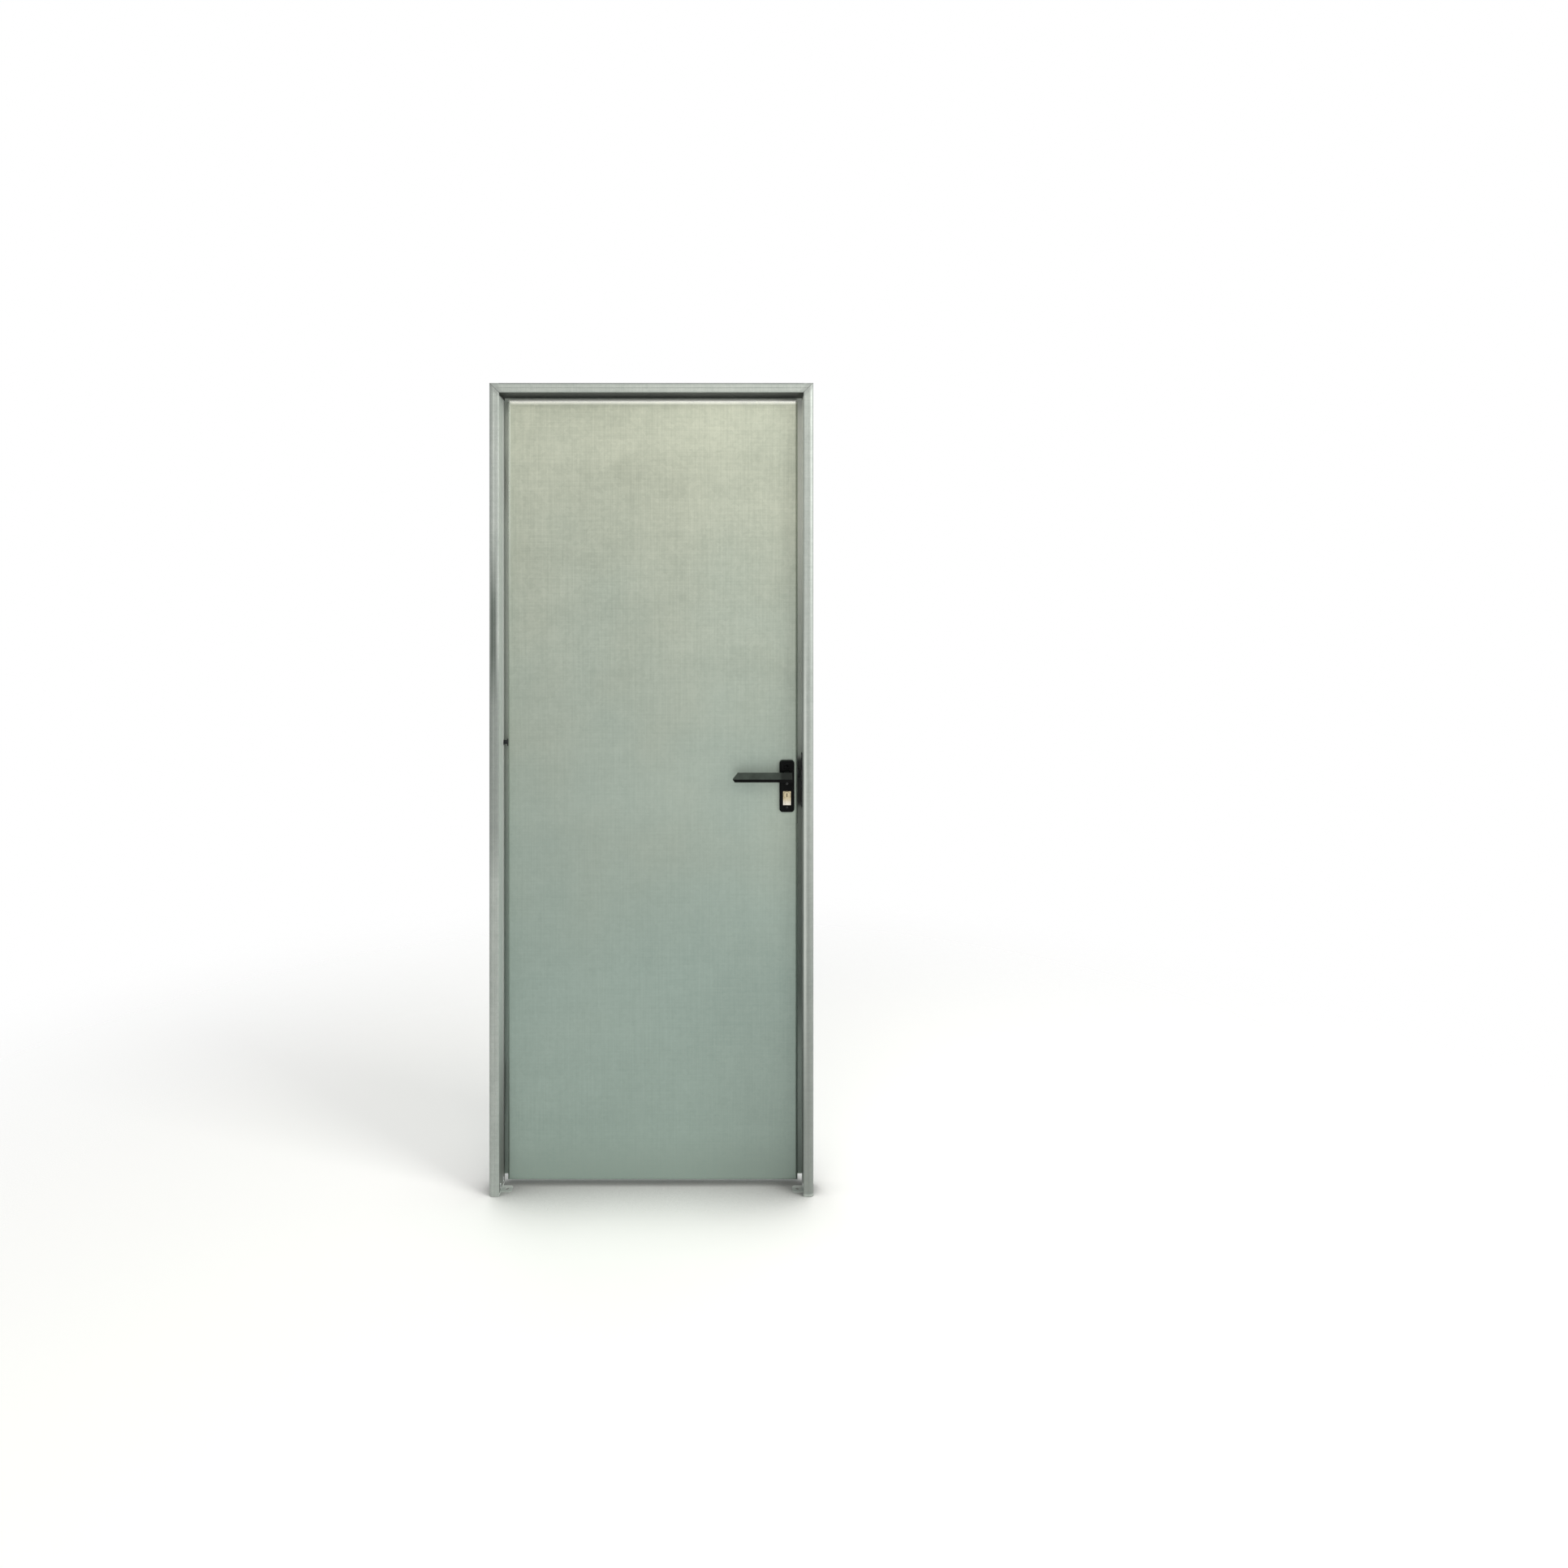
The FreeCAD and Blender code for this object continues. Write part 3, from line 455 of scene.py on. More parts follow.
def frame_doorway(bench, place, base, head):
    """The frame's colour with the painted light and painted shade in the doorway, and masks for
    doorway and reveals.
    """
    across, depth, level = bench.parts(place)
    inside = bench.stretch(across, *DOORWAY_SPAN) * bench.sheltered(place, *REVEAL_START)
    reveal = inside * (1 - head)
    zinc = bench.mix(bench.ramp(depth, 0.0, LEAF_FRONT), REVEAL_FRONT_ZINC, REVEAL_DEEP_PAINTED_LIGHT)
    # Painted light: the reveals are painted paler deeper in.
    base = bench.mix(0.85 * reveal, base, zinc)
    # Painted light high up on the lock-side reveal.
    painted_light = reveal * bench.ramp(across, *LOCK_SIDE_ACROSS) * bench.ramp(level, *PAINTED_LIGHT_LEVELS)
    base = bench.mix(0.95 * painted_light, base, GAP_PAINTED_LIGHT)
    # Painted shade low down on the reveals.
    low_shade = bench.below(level, *LOW_SHADE_LEVELS) * bench.ramp(level, *ABOVE_TAB) * reveal
    base = bench.mix(0.75 * low_shade, base, LOW_REVEAL_SHADE)
    # Painted shade: the head's underside is painted nearly black.
    base = bench.mix(0.85 * inside * head, base, SOFFIT_PAINTED_SHADE)
    return base, inside, reveal


print(f"doorway {DOORWAY_RIGHT - DOORWAY_LEFT:.3f} m wide between the reveals")

# %% [markdown]
# ## The frame's faces
# Outside the doorway the jambs are painted darker as painted shade: the lock side towards the
# foot and the hinge side at mid height. A painted highlight runs along the lock jamb's front fold,
# and a painted dark reflection runs down the hinge jamb as a streak. The folds are darker inside,
# partly dirt and partly painted shade, which the shader finds by how much of the sheet itself
# stands round a place.

# %% Frame finish
GRIME_AND_SHADE_REACH = 0.03
GRIME_AND_SHADE_SPAN = (0.45, 1.0)
EDGE_REACH = 0.0015
LOCK_SIDE_LEVELS = (0.1, 1.7)
HINGE_SIDE_LEVELS = (0.74, 0.92, 1.2, 1.4)
LOCK_FOLD_ACROSS = (0.003, 0.010)
LOCK_FOLD_DEPTH = (FRAME_FRONT + 0.002, FRAME_FRONT + 0.005)
LOCK_FOLD_LEVELS = (0.15, 0.6, 1.15, 1.5)
STREAK_MIDDLE = 0.0115
STREAK_REACH = (0.003, 0.011)
STREAK_LEVELS = (1.16, 1.36, 1.42, 1.66)
STREAK_TONES = (-0.45, 0.0)
FRAME_LIGHT = screen_colour(190, 196, 191)
FRAME_DARK = screen_colour(155, 163, 158)
ZINC_PAINT = screen_colour(158, 163, 160)
FOLD_GRIME_AND_SHADE = screen_colour(84, 84, 74)
LOCK_SIDE_PAINTED_SHADE = screen_colour(104, 110, 106)
HINGE_SIDE_PAINTED_SHADE = screen_colour(108, 115, 111)
LOCK_FOLD_HIGHLIGHT = screen_colour(236, 240, 235)
PAINTED_REFLECTION_STREAK = screen_colour(62, 74, 66)
SEAM_DARK = screen_colour(72, 74, 70)
EDGE_ZINC = screen_colour(222, 226, 222)


def frame_faces(bench, place, base, reveal, tone):
    """The frame's colour with the painted shade, the painted highlight on the fold and the painted
    reflection streak of its jambs.
    """
    across, depth, level = bench.parts(place)
    lock_side = bench.ramp(across, *LOCK_SIDE_ACROSS)
    # Painted shade on the lock jamb towards the foot, and on the hinge jamb at mid height.
    painted_shade = lock_side * bench.below(level, *LOCK_SIDE_LEVELS) * bench.ramp(level, *ABOVE_TAB)
    base = bench.mix(0.55 * painted_shade, base, LOCK_SIDE_PAINTED_SHADE)
    hinge_side = bench.below(across, *HINGE_SIDE_ACROSS) * (1 - reveal)
    painted_shade = hinge_side * bench.stretch(level, *HINGE_SIDE_LEVELS)
    base = bench.mix(0.45 * painted_shade, base, HINGE_SIDE_PAINTED_SHADE)
    # Painted highlight along the lock jamb's front fold.
    fold = lock_side * bench.below(across - DOORWAY_RIGHT, *LOCK_FOLD_ACROSS)
    fold = fold * bench.below(depth, *LOCK_FOLD_DEPTH) * bench.stretch(level, *LOCK_FOLD_LEVELS)
    base = bench.mix(0.45 * fold, base, LOCK_FOLD_HIGHLIGHT)
    # Painted dark reflection as a streak down the hinge jamb.
    streak = bench.below(abs(across - cad_low.x - STREAK_MIDDLE), *STREAK_REACH)
    streak = streak * bench.stretch(level, *STREAK_LEVELS) * bench.ramp(tone, *STREAK_TONES)
    return bench.mix(0.8 * streak, base, PAINTED_REFLECTION_STREAK)


def frame_sheet(name):
    material, bench, place = start_finish(name)
    tone, height = zinc_tone(bench, place)
    head, seam, paint = mitre_marks(bench, place)
    base = bench.mix(bench.ramp(tone, *TONE_SPAN), FRAME_DARK, FRAME_LIGHT)
    base = bench.mix(0.55 * paint, base, ZINC_PAINT)
    # Partly dirt and partly painted shade inside the folds.
    grime_and_shade = bench.ramp(bench.corners(GRIME_AND_SHADE_REACH) + 0.4 * tone, *GRIME_AND_SHADE_SPAN)
    base = bench.mix(0.6 * grime_and_shade, base, FOLD_GRIME_AND_SHADE)
    base, inside, reveal = frame_doorway(bench, place, base, head)
    base = frame_faces(bench, place, base, reveal, tone)
    base = bench.mix(0.75 * seam, base, SEAM_DARK)
    base = bench.mix(0.25 * bench.edge(EDGE_REACH), base, EDGE_ZINC)
    roughness = 0.42 - 0.22 * tone + 0.16 * paint + 0.15 * grime_and_shade
    close_finish(bench, base, roughness, height - SEAM_DEPTH * seam, 0.3 - 0.2 * inside)
    return material


finishes["galvanised_frame"] = frame_sheet("galvanised_frame")
print("frame sheet made, streak between", STREAK_LEVELS[0], "and", STREAK_LEVELS[3], "m")

# %% [markdown]
# ## Plated and blackened steel
# Hinges and anchor straps are bright zinc plate: a blue-white tint over ground steel, rubbed
# bare along the edges. The bolts, the strike and the dog bolt are blackened steel, whose edges
# rub bright first. Both come from one recipe with fine scratches and an edge mask.

# %% Plated steel finish
STEEL_MOTTLE_SCALE = 90.0
STEEL_SCRATCHES = (60.0, 60.0, 2400.0)
STAIN_SCALE = 240.0
STAIN_SPAN = (0.10, 0.24)
RUST_STAIN = screen_colour(96, 84, 66)
STEEL_EDGE = 0.0012


def worked_steel(name, light, dark, bare, roughness, wear):
    material, bench, place = start_finish(name)
    mottle = bench.noise(place, STEEL_MOTTLE_SCALE, 5.0)
    scratches = bench.noise(place, STEEL_SCRATCHES, 2.0)
    stains = bench.ramp(bench.noise(place, STAIN_SCALE, 6.0), *STAIN_SPAN)
    base = bench.mix(bench.ramp(mottle + 0.5 * scratches, -0.35, 0.35), dark, light)
    base = bench.mix(0.35 * stains, base, RUST_STAIN)
    rubbed = bench.edge(STEEL_EDGE) * bench.ramp(mottle, -0.2, 0.2)
    base = bench.mix(wear * rubbed, base, bare)
    rough = roughness + 0.25 * mottle + 0.15 * stains - 0.12 * rubbed
    height = 0.00002 * scratches + 0.00004 * mottle + 0.00003 * stains
    close_finish(bench, base, rough, height, 0.95)
    return material


finishes["zinc_plated_steel"] = worked_steel(
    "zinc_plated_steel",
    light=screen_colour(208, 211, 210),
    dark=screen_colour(166, 172, 176),
    bare=screen_colour(226, 224, 216),
    roughness=0.34,
    wear=0.6,
)
finishes["dark_steel"] = worked_steel(
    "dark_steel",
    light=screen_colour(64, 66, 68),
    dark=screen_colour(34, 35, 37),
    bare=screen_colour(150, 150, 146),
    roughness=0.42,
    wear=0.7,
)
print("plated and blackened steel made")

# %% [markdown]
# ## Black nylon
# The levers and plates are moulded in black glass-filled nylon. The tool leaves a fine leathery
# grain, hands polish the edges a little greyer, and the faces that look up are lighter, partly
# dust and partly painted light from above, except near the plate, where fingers rub the dust off.
# The grain is a bump of a few hundredths of a millimetre, far too fine to be worth modelling.

# %% Nylon finish
GRAIN_SIZE = 0.0007
PIT_SCALE = 1800.0
SMUDGE_SCALE = 45.0
FACING_UP = (0.2, 0.42)
RUBBED_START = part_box("push_plate")[0].x - 0.004
RUBBED_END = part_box("push_plate")[0].x + 0.006
NYLON_EDGE = 0.0012
POCKET_REACH = 0.006
NYLON_DARK = screen_colour(5, 6, 6)
NYLON_LIGHT = screen_colour(13, 14, 14)
NYLON_DUST_AND_SHEEN = screen_colour(74, 83, 77)
NYLON_WORN = screen_colour(52, 56, 53)
POCKET_DUST = screen_colour(70, 70, 66)


def moulded_nylon(name):
    material, bench, place = start_finish(name)
    grain = bench.cells(place, GRAIN_SIZE)
    pits = bench.noise(place, PIT_SCALE, 2.0)
    smudge = bench.noise(place, SMUDGE_SCALE, 4.0)
    base = bench.mix(bench.ramp(smudge, -0.25, 0.25), NYLON_DARK, NYLON_LIGHT)
    across, _, _ = bench.parts(place)
    _, _, upward = bench.parts(bench.node("ShaderNodeTexCoord", {}, {}, "Normal"))
    rubbed = bench.ramp(across, RUBBED_START, RUBBED_END)
    # Partly dust and partly painted light on the faces that look up.
    dust_and_sheen = bench.ramp(upward, *FACING_UP) * (1 - 0.75 * rubbed) * (0.65 + 0.8 * smudge)
    base = bench.mix(dust_and_sheen, base, NYLON_DUST_AND_SHEEN)
    base = bench.mix(0.4 * bench.edge(NYLON_EDGE), base, NYLON_WORN)
    dust = bench.ramp(bench.corners(POCKET_REACH) + smudge, 0.35, 0.9)
    base = bench.mix(0.18 * dust, base, POCKET_DUST)
    roughness = 0.34 + 0.25 * smudge + 0.08 * grain + 0.2 * dust
    height = 0.000015 * grain + 0.00001 * pits
    close_finish(bench, base, roughness, height, 0.0, **{"Specular IOR Level": 0.08})
    return material


finishes["black_nylon"] = moulded_nylon("black_nylon")
print("moulded nylon made with a grain of", GRAIN_SIZE * 1000, "mm")

# %% [markdown]
# ## Satin brass
# The lock cylinder is nickel-washed brass, drawn lengthwise and faced on a lathe, so its colour
# is a pale straw. Keys leave scratches round the keyway, the lower end carries a painted
# highlight, and the hollow where the plug turns is darker, partly dirt and partly painted shade.
# The drawing lines are noise that is long in one direction.

# %% Brass finish
BRASS_MOTTLE_SCALE = 160.0
DRAWN_LINES = (2600.0, 60.0, 2600.0)
KEY_SCRATCHES = (900.0, 900.0, 190.0)
SCRATCH_SPAN = (0.12, 0.2)
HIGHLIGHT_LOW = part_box("lock_cylinder")[0].z + 0.002
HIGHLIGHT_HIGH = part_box("lock_cylinder")[0].z + 0.018
PLUG_REACH = 0.003
BRASS_DARK = screen_colour(188, 172, 134)
BRASS_LIGHT = screen_colour(231, 219, 188)
BRASS_SCRATCH = screen_colour(244, 236, 214)
BRASS_PAINTED_HIGHLIGHT = screen_colour(252, 247, 236)
BRASS_DIRT_AND_SHADE = screen_colour(70, 60, 40)


def satin_brass(name):
    material, bench, place = start_finish(name)
    mottle = bench.noise(place, BRASS_MOTTLE_SCALE, 5.0)
    drawn = bench.noise(place, DRAWN_LINES, 2.0)
    scratches = bench.ramp(bench.noise(place, KEY_SCRATCHES, 3.0), *SCRATCH_SPAN)
    base = bench.mix(bench.ramp(mottle + 0.6 * drawn, -0.4, 0.4), BRASS_DARK, BRASS_LIGHT)
    base = bench.mix(0.4 * scratches, base, BRASS_SCRATCH)
    _, _, level = bench.parts(place)
    # Painted highlight on the cylinder's lower end.
    base = bench.mix(0.75 * bench.below(level, HIGHLIGHT_LOW, HIGHLIGHT_HIGH), base, BRASS_PAINTED_HIGHLIGHT)
    # Partly dirt and partly painted shade in the hollow where the plug turns.
    dirt_and_shade = bench.ramp(bench.corners(PLUG_REACH) + 0.5 * mottle, 0.4, 0.9)
    base = bench.mix(0.6 * dirt_and_shade, base, BRASS_DIRT_AND_SHADE)
    roughness = 0.33 + 0.2 * mottle + 0.25 * dirt_and_shade
    close_finish(bench, base, roughness, 0.00001 * drawn - 0.00001 * scratches, 1.0)
    return material


finishes["brass"] = satin_brass("brass")
for name, node in nodes.items():
    node.data.materials.clear()
    node.data.materials.append(finishes[slot_of[name]])
print("every node has one of", sorted(finishes))

# %% [markdown]
# ## Making small pieces
# Screws, caps and weld beads are too small for the solids, so they are meshes of their own. One
# helper turns a filled bmesh into a piece that rides on a body and takes a slot's finish.

# %% Piece helper
SMOOTH_DEGREES = 35.0


def add_piece(name, body, slot, bm):
    bmesh.ops.recalc_face_normals(bm, faces=bm.faces)
    limit = math.radians(SMOOTH_DEGREES)
    for face in bm.faces:
        face.smooth = True
    for edge in bm.edges:
        edge.smooth = edge.is_manifold and edge.calc_face_angle() < limit
    mesh = bpy.data.meshes.new(name)
    bm.to_mesh(mesh)
    bm.free()
    mesh.materials.append(finishes[slot])
    piece = bpy.data.objects.new(name, mesh)
    bpy.context.scene.collection.objects.link(piece)
    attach(piece, body)
    print(f"{name}: {len(mesh.polygons)} faces on {body}")


def facing(point, direction, turn=0.0):
    """Places a form made round +Z so that it stands at a point and looks along a direction."""
    aim = Vector(direction).to_track_quat("Z", "Y").to_matrix().to_4x4()
    return Matrix.Translation(point) @ aim @ Matrix.Rotation(turn, 4, "Z")


print("pieces are smoothed across folds of less than", SMOOTH_DEGREES, "degrees")

# %% [markdown]
# ## Screws
# Forend, strike and handle plates are held by countersunk screws with a cross recess, and the
# hinges by raised heads. A boolean would leave untidy faces, so the flat of the head is filled
# between a circle and a cross, then the cross is pulled down into a tapered recess and the rim
# is rolled over. All measures are shares of the head's radius.

# %% Screw outlines
HEAD_SIDES = 32
RECESS_LENGTH = 0.62
RECESS_WIDTH = 0.16
HEX_REACH = 0.55


def ring(bm, points):
    """Closed loop of new vertices and the edges between them."""
    corners = [bm.verts.new(point) for point in points]
    edges = [bm.edges.new((a, b)) for a, b in zip(corners, corners[1:] + corners[:1])]
    return corners, edges


def stitch(bm, first, second):
    """Wall of quads between two loops with the same count."""
    for a, b, c, d in zip(first, first[1:] + first[:1], second[1:] + second[:1], second):
        bm.faces.new((a, b, c, d))


def circle_points(radius, height, sides=HEAD_SIDES):
    turns = [2 * math.pi * step / sides for step in range(sides)]
    return [(radius * math.cos(turn), radius * math.sin(turn), height) for turn in turns]


def cross_points(radius, height, shrink=1.0):
    """Outline of a cross, one arm and the corner after it at a time."""
    long, wide = RECESS_LENGTH * radius * shrink, RECESS_WIDTH * radius * shrink
    arm = [(long, -wide), (long, wide), (wide, wide)]
    points = []
    for _ in range(4):
        points += [(x, y, height) for x, y in arm]
        arm = [(-y, x) for x, y in arm]
    return points


def hex_points(radius, height, shrink=1.0):
    return circle_points(radius * HEX_REACH * shrink, height, 6)


print("a cross recess has", len(cross_points(1.0, 0.0)), "corners")

# %% Screw heads
RECESS_DEPTH = 0.75
RECESS_TAPER = 0.6
COUNTERSUNK_RISE = 0.05
RAISED_RISE = 0.40
RIM = 0.9
SHOULDER = 0.6
WAIST = 0.9
CONE = 0.2


def screw_head(bm, where, radius, recess=cross_points, rise=COUNTERSUNK_RISE):
    """Head that stands on z = 0, with its flat above and its cone below."""
    top = rise * radius
    depth = RECESS_DEPTH * (radius if rise == COUNTERSUNK_RISE else top)
    before = set(bm.verts)
    rim, rim_edges = ring(bm, circle_points(RIM * radius, top))
    mouth, mouth_edges = ring(bm, recess(radius, top))
    edges = rim_edges + mouth_edges
    bmesh.ops.triangle_fill(bm, edges=edges, use_beauty=True, use_dissolve=False)
    floor, _ = ring(bm, recess(radius, top - depth, RECESS_TAPER))
    stitch(bm, mouth, floor)
    bm.faces.new(floor)
    shoulder, _ = ring(bm, circle_points(radius, SHOULDER * top))
    waist, _ = ring(bm, circle_points(WAIST * radius, -CONE * radius))
    stitch(bm, rim, shoulder)
    stitch(bm, shoulder, waist)
    bm.faces.new(waist)
    for vert in set(bm.verts) - before:
        vert.co = where @ vert.co


def screws(name, body, slot, spots, radius, **shape):
    """One piece of several heads; a spot is a point, a facing direction and a turn in degrees."""
    bm = bmesh.new()
    for point, direction, turn in spots:
        screw_head(bm, facing(point, direction, math.radians(turn)), radius, **shape)
    add_piece(name, body, slot, bm)


print("raised heads stand", RAISED_RISE, "of their radius proud")

# %% [markdown]
# ## Where the screws sit
# Each screw is placed from the box of the node that it holds, so it stays in place if the CAD
# changes. The turns differ, because nobody lines up the slots of screws on a steel door.

# %% Hinge, forend and strike screws
HINGE_SCREW = 0.0042
LOCK_SCREW = 0.0036
HINGE_ROWS = ((0.2, 0.58, 12), (0.5, 0.80, 57), (0.8, 0.58, 33))
SCREW_INSET = 0.009

for place in ("lower", "upper"):
    low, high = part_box(place + "_hinge_leaf_flag")
    wide, tall = high.x - low.x, high.z - low.z
    spots = [
        ((low.x + across * wide, high.y, low.z + up * tall), (0, 1, 0), turn)
        for up, across, turn in HINGE_ROWS
    ]
    screws(
        place + "_hinge_screws", "leaf", "zinc_plated_steel", spots, HINGE_SCREW, rise=RAISED_RISE
    )

low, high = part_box("lock_forend")
middle = (low.y + high.y) / 2
ends = [(low.z + SCREW_INSET, 21), (high.z - SCREW_INSET, 68)]
spots = [((high.x, middle, z), (1, 0, 0), turn) for z, turn in ends]
screws("forend_screws", "leaf", "zinc_plated_steel", spots, LOCK_SCREW)

low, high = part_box("strike_plate")
ends = [(low.z + SCREW_INSET, 40), (high.z - SCREW_INSET, 5)]
spots = [((low.x, middle, z), (-1, 0, 0), turn) for z, turn in ends]
screws("strike_screws", "frame", "zinc_plated_steel", spots, LOCK_SCREW)

# %% [markdown]
# ## Fixings of the handle set
# Two screws hold each plate, one under the lever and one under the cylinder, and a square cap
# closes the pocket above the lever. A small grub screw under each lever's neck clamps it to the
# spindle. The cap is a bevelled cube whose top is inset in steps, which is enough for its size.

# %% Plate screws, caps and grub screws
POCKET_DEPTH = 0.0012
UPPER_SCREW_RISE = 0.071
LOWER_SCREW_RISE = 0.0115
PLATE_SCREW = 0.0028
GRUB_SCREW = 0.0026
CAP_RISE = 0.1145
CAP_HALF = 0.0062
CAP_PROUD = 0.0006
CAP_CORNER = 0.0018
CAP_STEPS = ((0.0008, 0.0003), (0.0014, -0.0002), (0.0010, -0.0004))
NECK_RADIUS = 0.0095
GRUB_REACH = 0.016


def square_cap(bm, where):
    """Low square cushion with rounded corners and a dished middle."""
    made = bmesh.ops.create_cube(bm, size=1.0)["verts"]
    size = (2 * CAP_HALF, 2 * CAP_HALF, 2 * (POCKET_DEPTH + CAP_PROUD))
    bmesh.ops.scale(bm, vec=size, verts=made)
    upright = [e for e in bm.edges if abs(e.verts[0].co.z - e.verts[1].co.z) > POCKET_DEPTH]
    bmesh.ops.bevel(
        bm, geom=upright, offset=CAP_CORNER, segments=5, affect="EDGES", profile=0.5
    )
    top = max(bm.faces, key=lambda face: face.calc_center_median().z)
    for inset, rise in CAP_STEPS:
        bmesh.ops.inset_region(bm, faces=[top], thickness=inset, depth=rise)
    bmesh.ops.transform(bm, matrix=where, verts=bm.verts)


for side, look in (("push", -1), ("pull", 1)):
    low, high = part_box(side + "_plate")
    face = (low.y if look < 0 else high.y) - look * POCKET_DEPTH
    spindle_x = (low.x + high.x) / 2
    spots = [
        ((spindle_x, face, low.z + LOWER_SCREW_RISE), (0, look, 0), 18),
        ((spindle_x, face, low.z + UPPER_SCREW_RISE), (0, look, 0), 50),
    ]
    screws(side + "_plate_screws", "leaf", "dark_steel", spots, PLATE_SCREW)
    bm = bmesh.new()
    square_cap(bm, facing((spindle_x, face, low.z + CAP_RISE), (0, look, 0)))
    add_piece(side + "_plate_cap", "leaf", "black_nylon", bm)
    lever_low, lever_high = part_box(side + "_lever")
    neck_low = (lever_low.z + lever_high.z) / 2 - NECK_RADIUS
    grub = [((spindle_x, face + look * GRUB_REACH, neck_low), (0, 0, -1), 10)]
    screws(side + "_grub_screw", "lever", "dark_steel", grub, GRUB_SCREW, recess=hex_points)
print("handle fixings placed round x =", round(spindle_x, 4))

# %% [markdown]
# ## Shields round the cylinder
# A pale rectangle surrounds the cylinder in the photograph. It is a thin brass shield that lies
# in the plate's long pocket, with a keyhole-shaped opening for the cylinder. Its face is filled
# between the two outlines, and both outlines are walled down to the pocket's floor.

# %% Cylinder shields
SHIELD_HALF = 0.0101
SHIELD_MARGIN = 0.0006
SHIELD_EDGE = 0.0004
SHIELD_THICKNESS = 0.0009
CYLINDER_FIT = 0.0003
STEM_HALF = 0.005 + CYLINDER_FIT
HEAD_STEPS = 40
STEM_STEPS = 20
cylinder_low, cylinder_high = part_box("lock_cylinder")
head_radius = (cylinder_high.x - cylinder_low.x) / 2 + CYLINDER_FIT
head_middle = cylinder_high.z - head_radius + CYLINDER_FIT
stem_end = cylinder_low.z - CYLINDER_FIT + STEM_HALF - head_middle


def arc_points(middle, radius, first, last, steps):
    turns = [math.radians(first + (last - first) * step / steps) for step in range(steps + 1)]
    return [(radius * math.cos(turn), middle + radius * math.sin(turn)) for turn in turns]


def keyhole_outline():
    """Round head with a straight stem below it, round its middle."""
    meet = math.degrees(math.acos(STEM_HALF / head_radius))
    head = arc_points(0, head_radius, -meet, 180 + meet, HEAD_STEPS)
    return head + arc_points(stem_end, STEM_HALF, 180, 360, STEM_STEPS)


def shield_outline(inset):
    half = SHIELD_HALF - inset
    top = head_radius + SHIELD_MARGIN - inset
    bottom = stem_end - STEM_HALF - SHIELD_MARGIN + inset
    return [(-half, bottom), (half, bottom), (half, top), (-half, top)]


def shield(bm, where):
    def loop(outline, height):
        return ring(bm, [where @ Vector((x, y, height)) for x, y in outline])

    face, face_edges = loop(shield_outline(SHIELD_EDGE), SHIELD_THICKNESS)
    mouth, mouth_edges = loop(keyhole_outline(), SHIELD_THICKNESS)
    edges = face_edges + mouth_edges
    bmesh.ops.triangle_fill(bm, edges=edges, use_beauty=True, use_dissolve=False)
    rim, _ = loop(shield_outline(0), SHIELD_THICKNESS - SHIELD_EDGE)
    foot, _ = loop(shield_outline(0), 0)
    root, _ = loop(keyhole_outline(), 0)
    stitch(bm, face, rim)
    stitch(bm, rim, foot)
    stitch(bm, mouth, root)


for side, look in (("push", -1), ("pull", 1)):
    low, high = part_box(side + "_plate")
    face = (low.y if look < 0 else high.y) - look * POCKET_DEPTH
    bm = bmesh.new()
    half_turn = Matrix.Rotation(math.radians(0 if look < 0 else 180), 4, "Z")
    upright = half_turn @ Matrix.Rotation(math.radians(90), 4, "X")
    shield(bm, Matrix.Translation((spindle_x, face, head_middle)) @ upright)
    add_piece(side + "_cylinder_shield", "leaf", "brass", bm)

# %% [markdown]
# ## Weld beads
# The anchor straps are welded to the frame's two lips, the hinges to the back of the frame and
# the foot tabs behind the reveals. A weld bead is a row of small overlapping ripples. It is made
# as a round strip swept along a line, whose radius rises and falls with each ripple, and sunk a
# little into both pieces that it joins.

# %% Bead helper
BEAD_RADIUS = 0.0021
BEAD_SIDES = 9
RIPPLE = 0.0026
RIPPLE_SWELL = 0.20
LOOPS_PER_RIPPLE = 6
FEWEST_LOOPS = 8
END_TAPER = 8
END_RADIUS = 0.05
WANDER = 0.0003
WANDER_TURNS = 9
WANDER_SHIFT = 40


def bead(bm, start, end, bulge):
    """Rippled bead between two points, turned towards one direction."""
    start, end = Vector(start), Vector(end)
    along = (end - start).normalized()
    out = Vector(bulge).normalized()
    side = along.cross(out)
    length = (end - start).length
    count = max(FEWEST_LOOPS, int(length / RIPPLE * LOOPS_PER_RIPPLE))
    turns = [2 * math.pi * k / BEAD_SIDES for k in range(BEAD_SIDES)]
    loops = []
    for step in range(count + 1):
        share = step / count
        wave = abs(math.sin(math.pi * share * length / RIPPLE))
        taper = min(1.0, END_TAPER * share, END_TAPER * (1 - share)) ** 0.5
        radius = BEAD_RADIUS * (1 - RIPPLE_SWELL + RIPPLE_SWELL * wave) * max(taper, END_RADIUS)
        wander = side * WANDER * math.sin(WANDER_TURNS * share + WANDER_SHIFT * start.z)
        middle = start + along * (share * length) + wander
        loop = [middle + radius * (math.cos(turn) * out + math.sin(turn) * side) for turn in turns]
        loops.append([bm.verts.new(point) for point in loop])
    for first, second in zip(loops, loops[1:]):
        stitch(bm, first, second)
    bm.faces.new(loops[0])
    bm.faces.new(loops[-1])


print("beads are", BEAD_RADIUS * 2000, "mm thick, with a ripple every", RIPPLE * 1000, "mm")

# %% [markdown]
# ## Welds on the anchors, hinges and feet
# The straps are seen from the wall side, where each lip's free edge crosses the strap: that is
# where the welder can reach, so that is where the beads are.

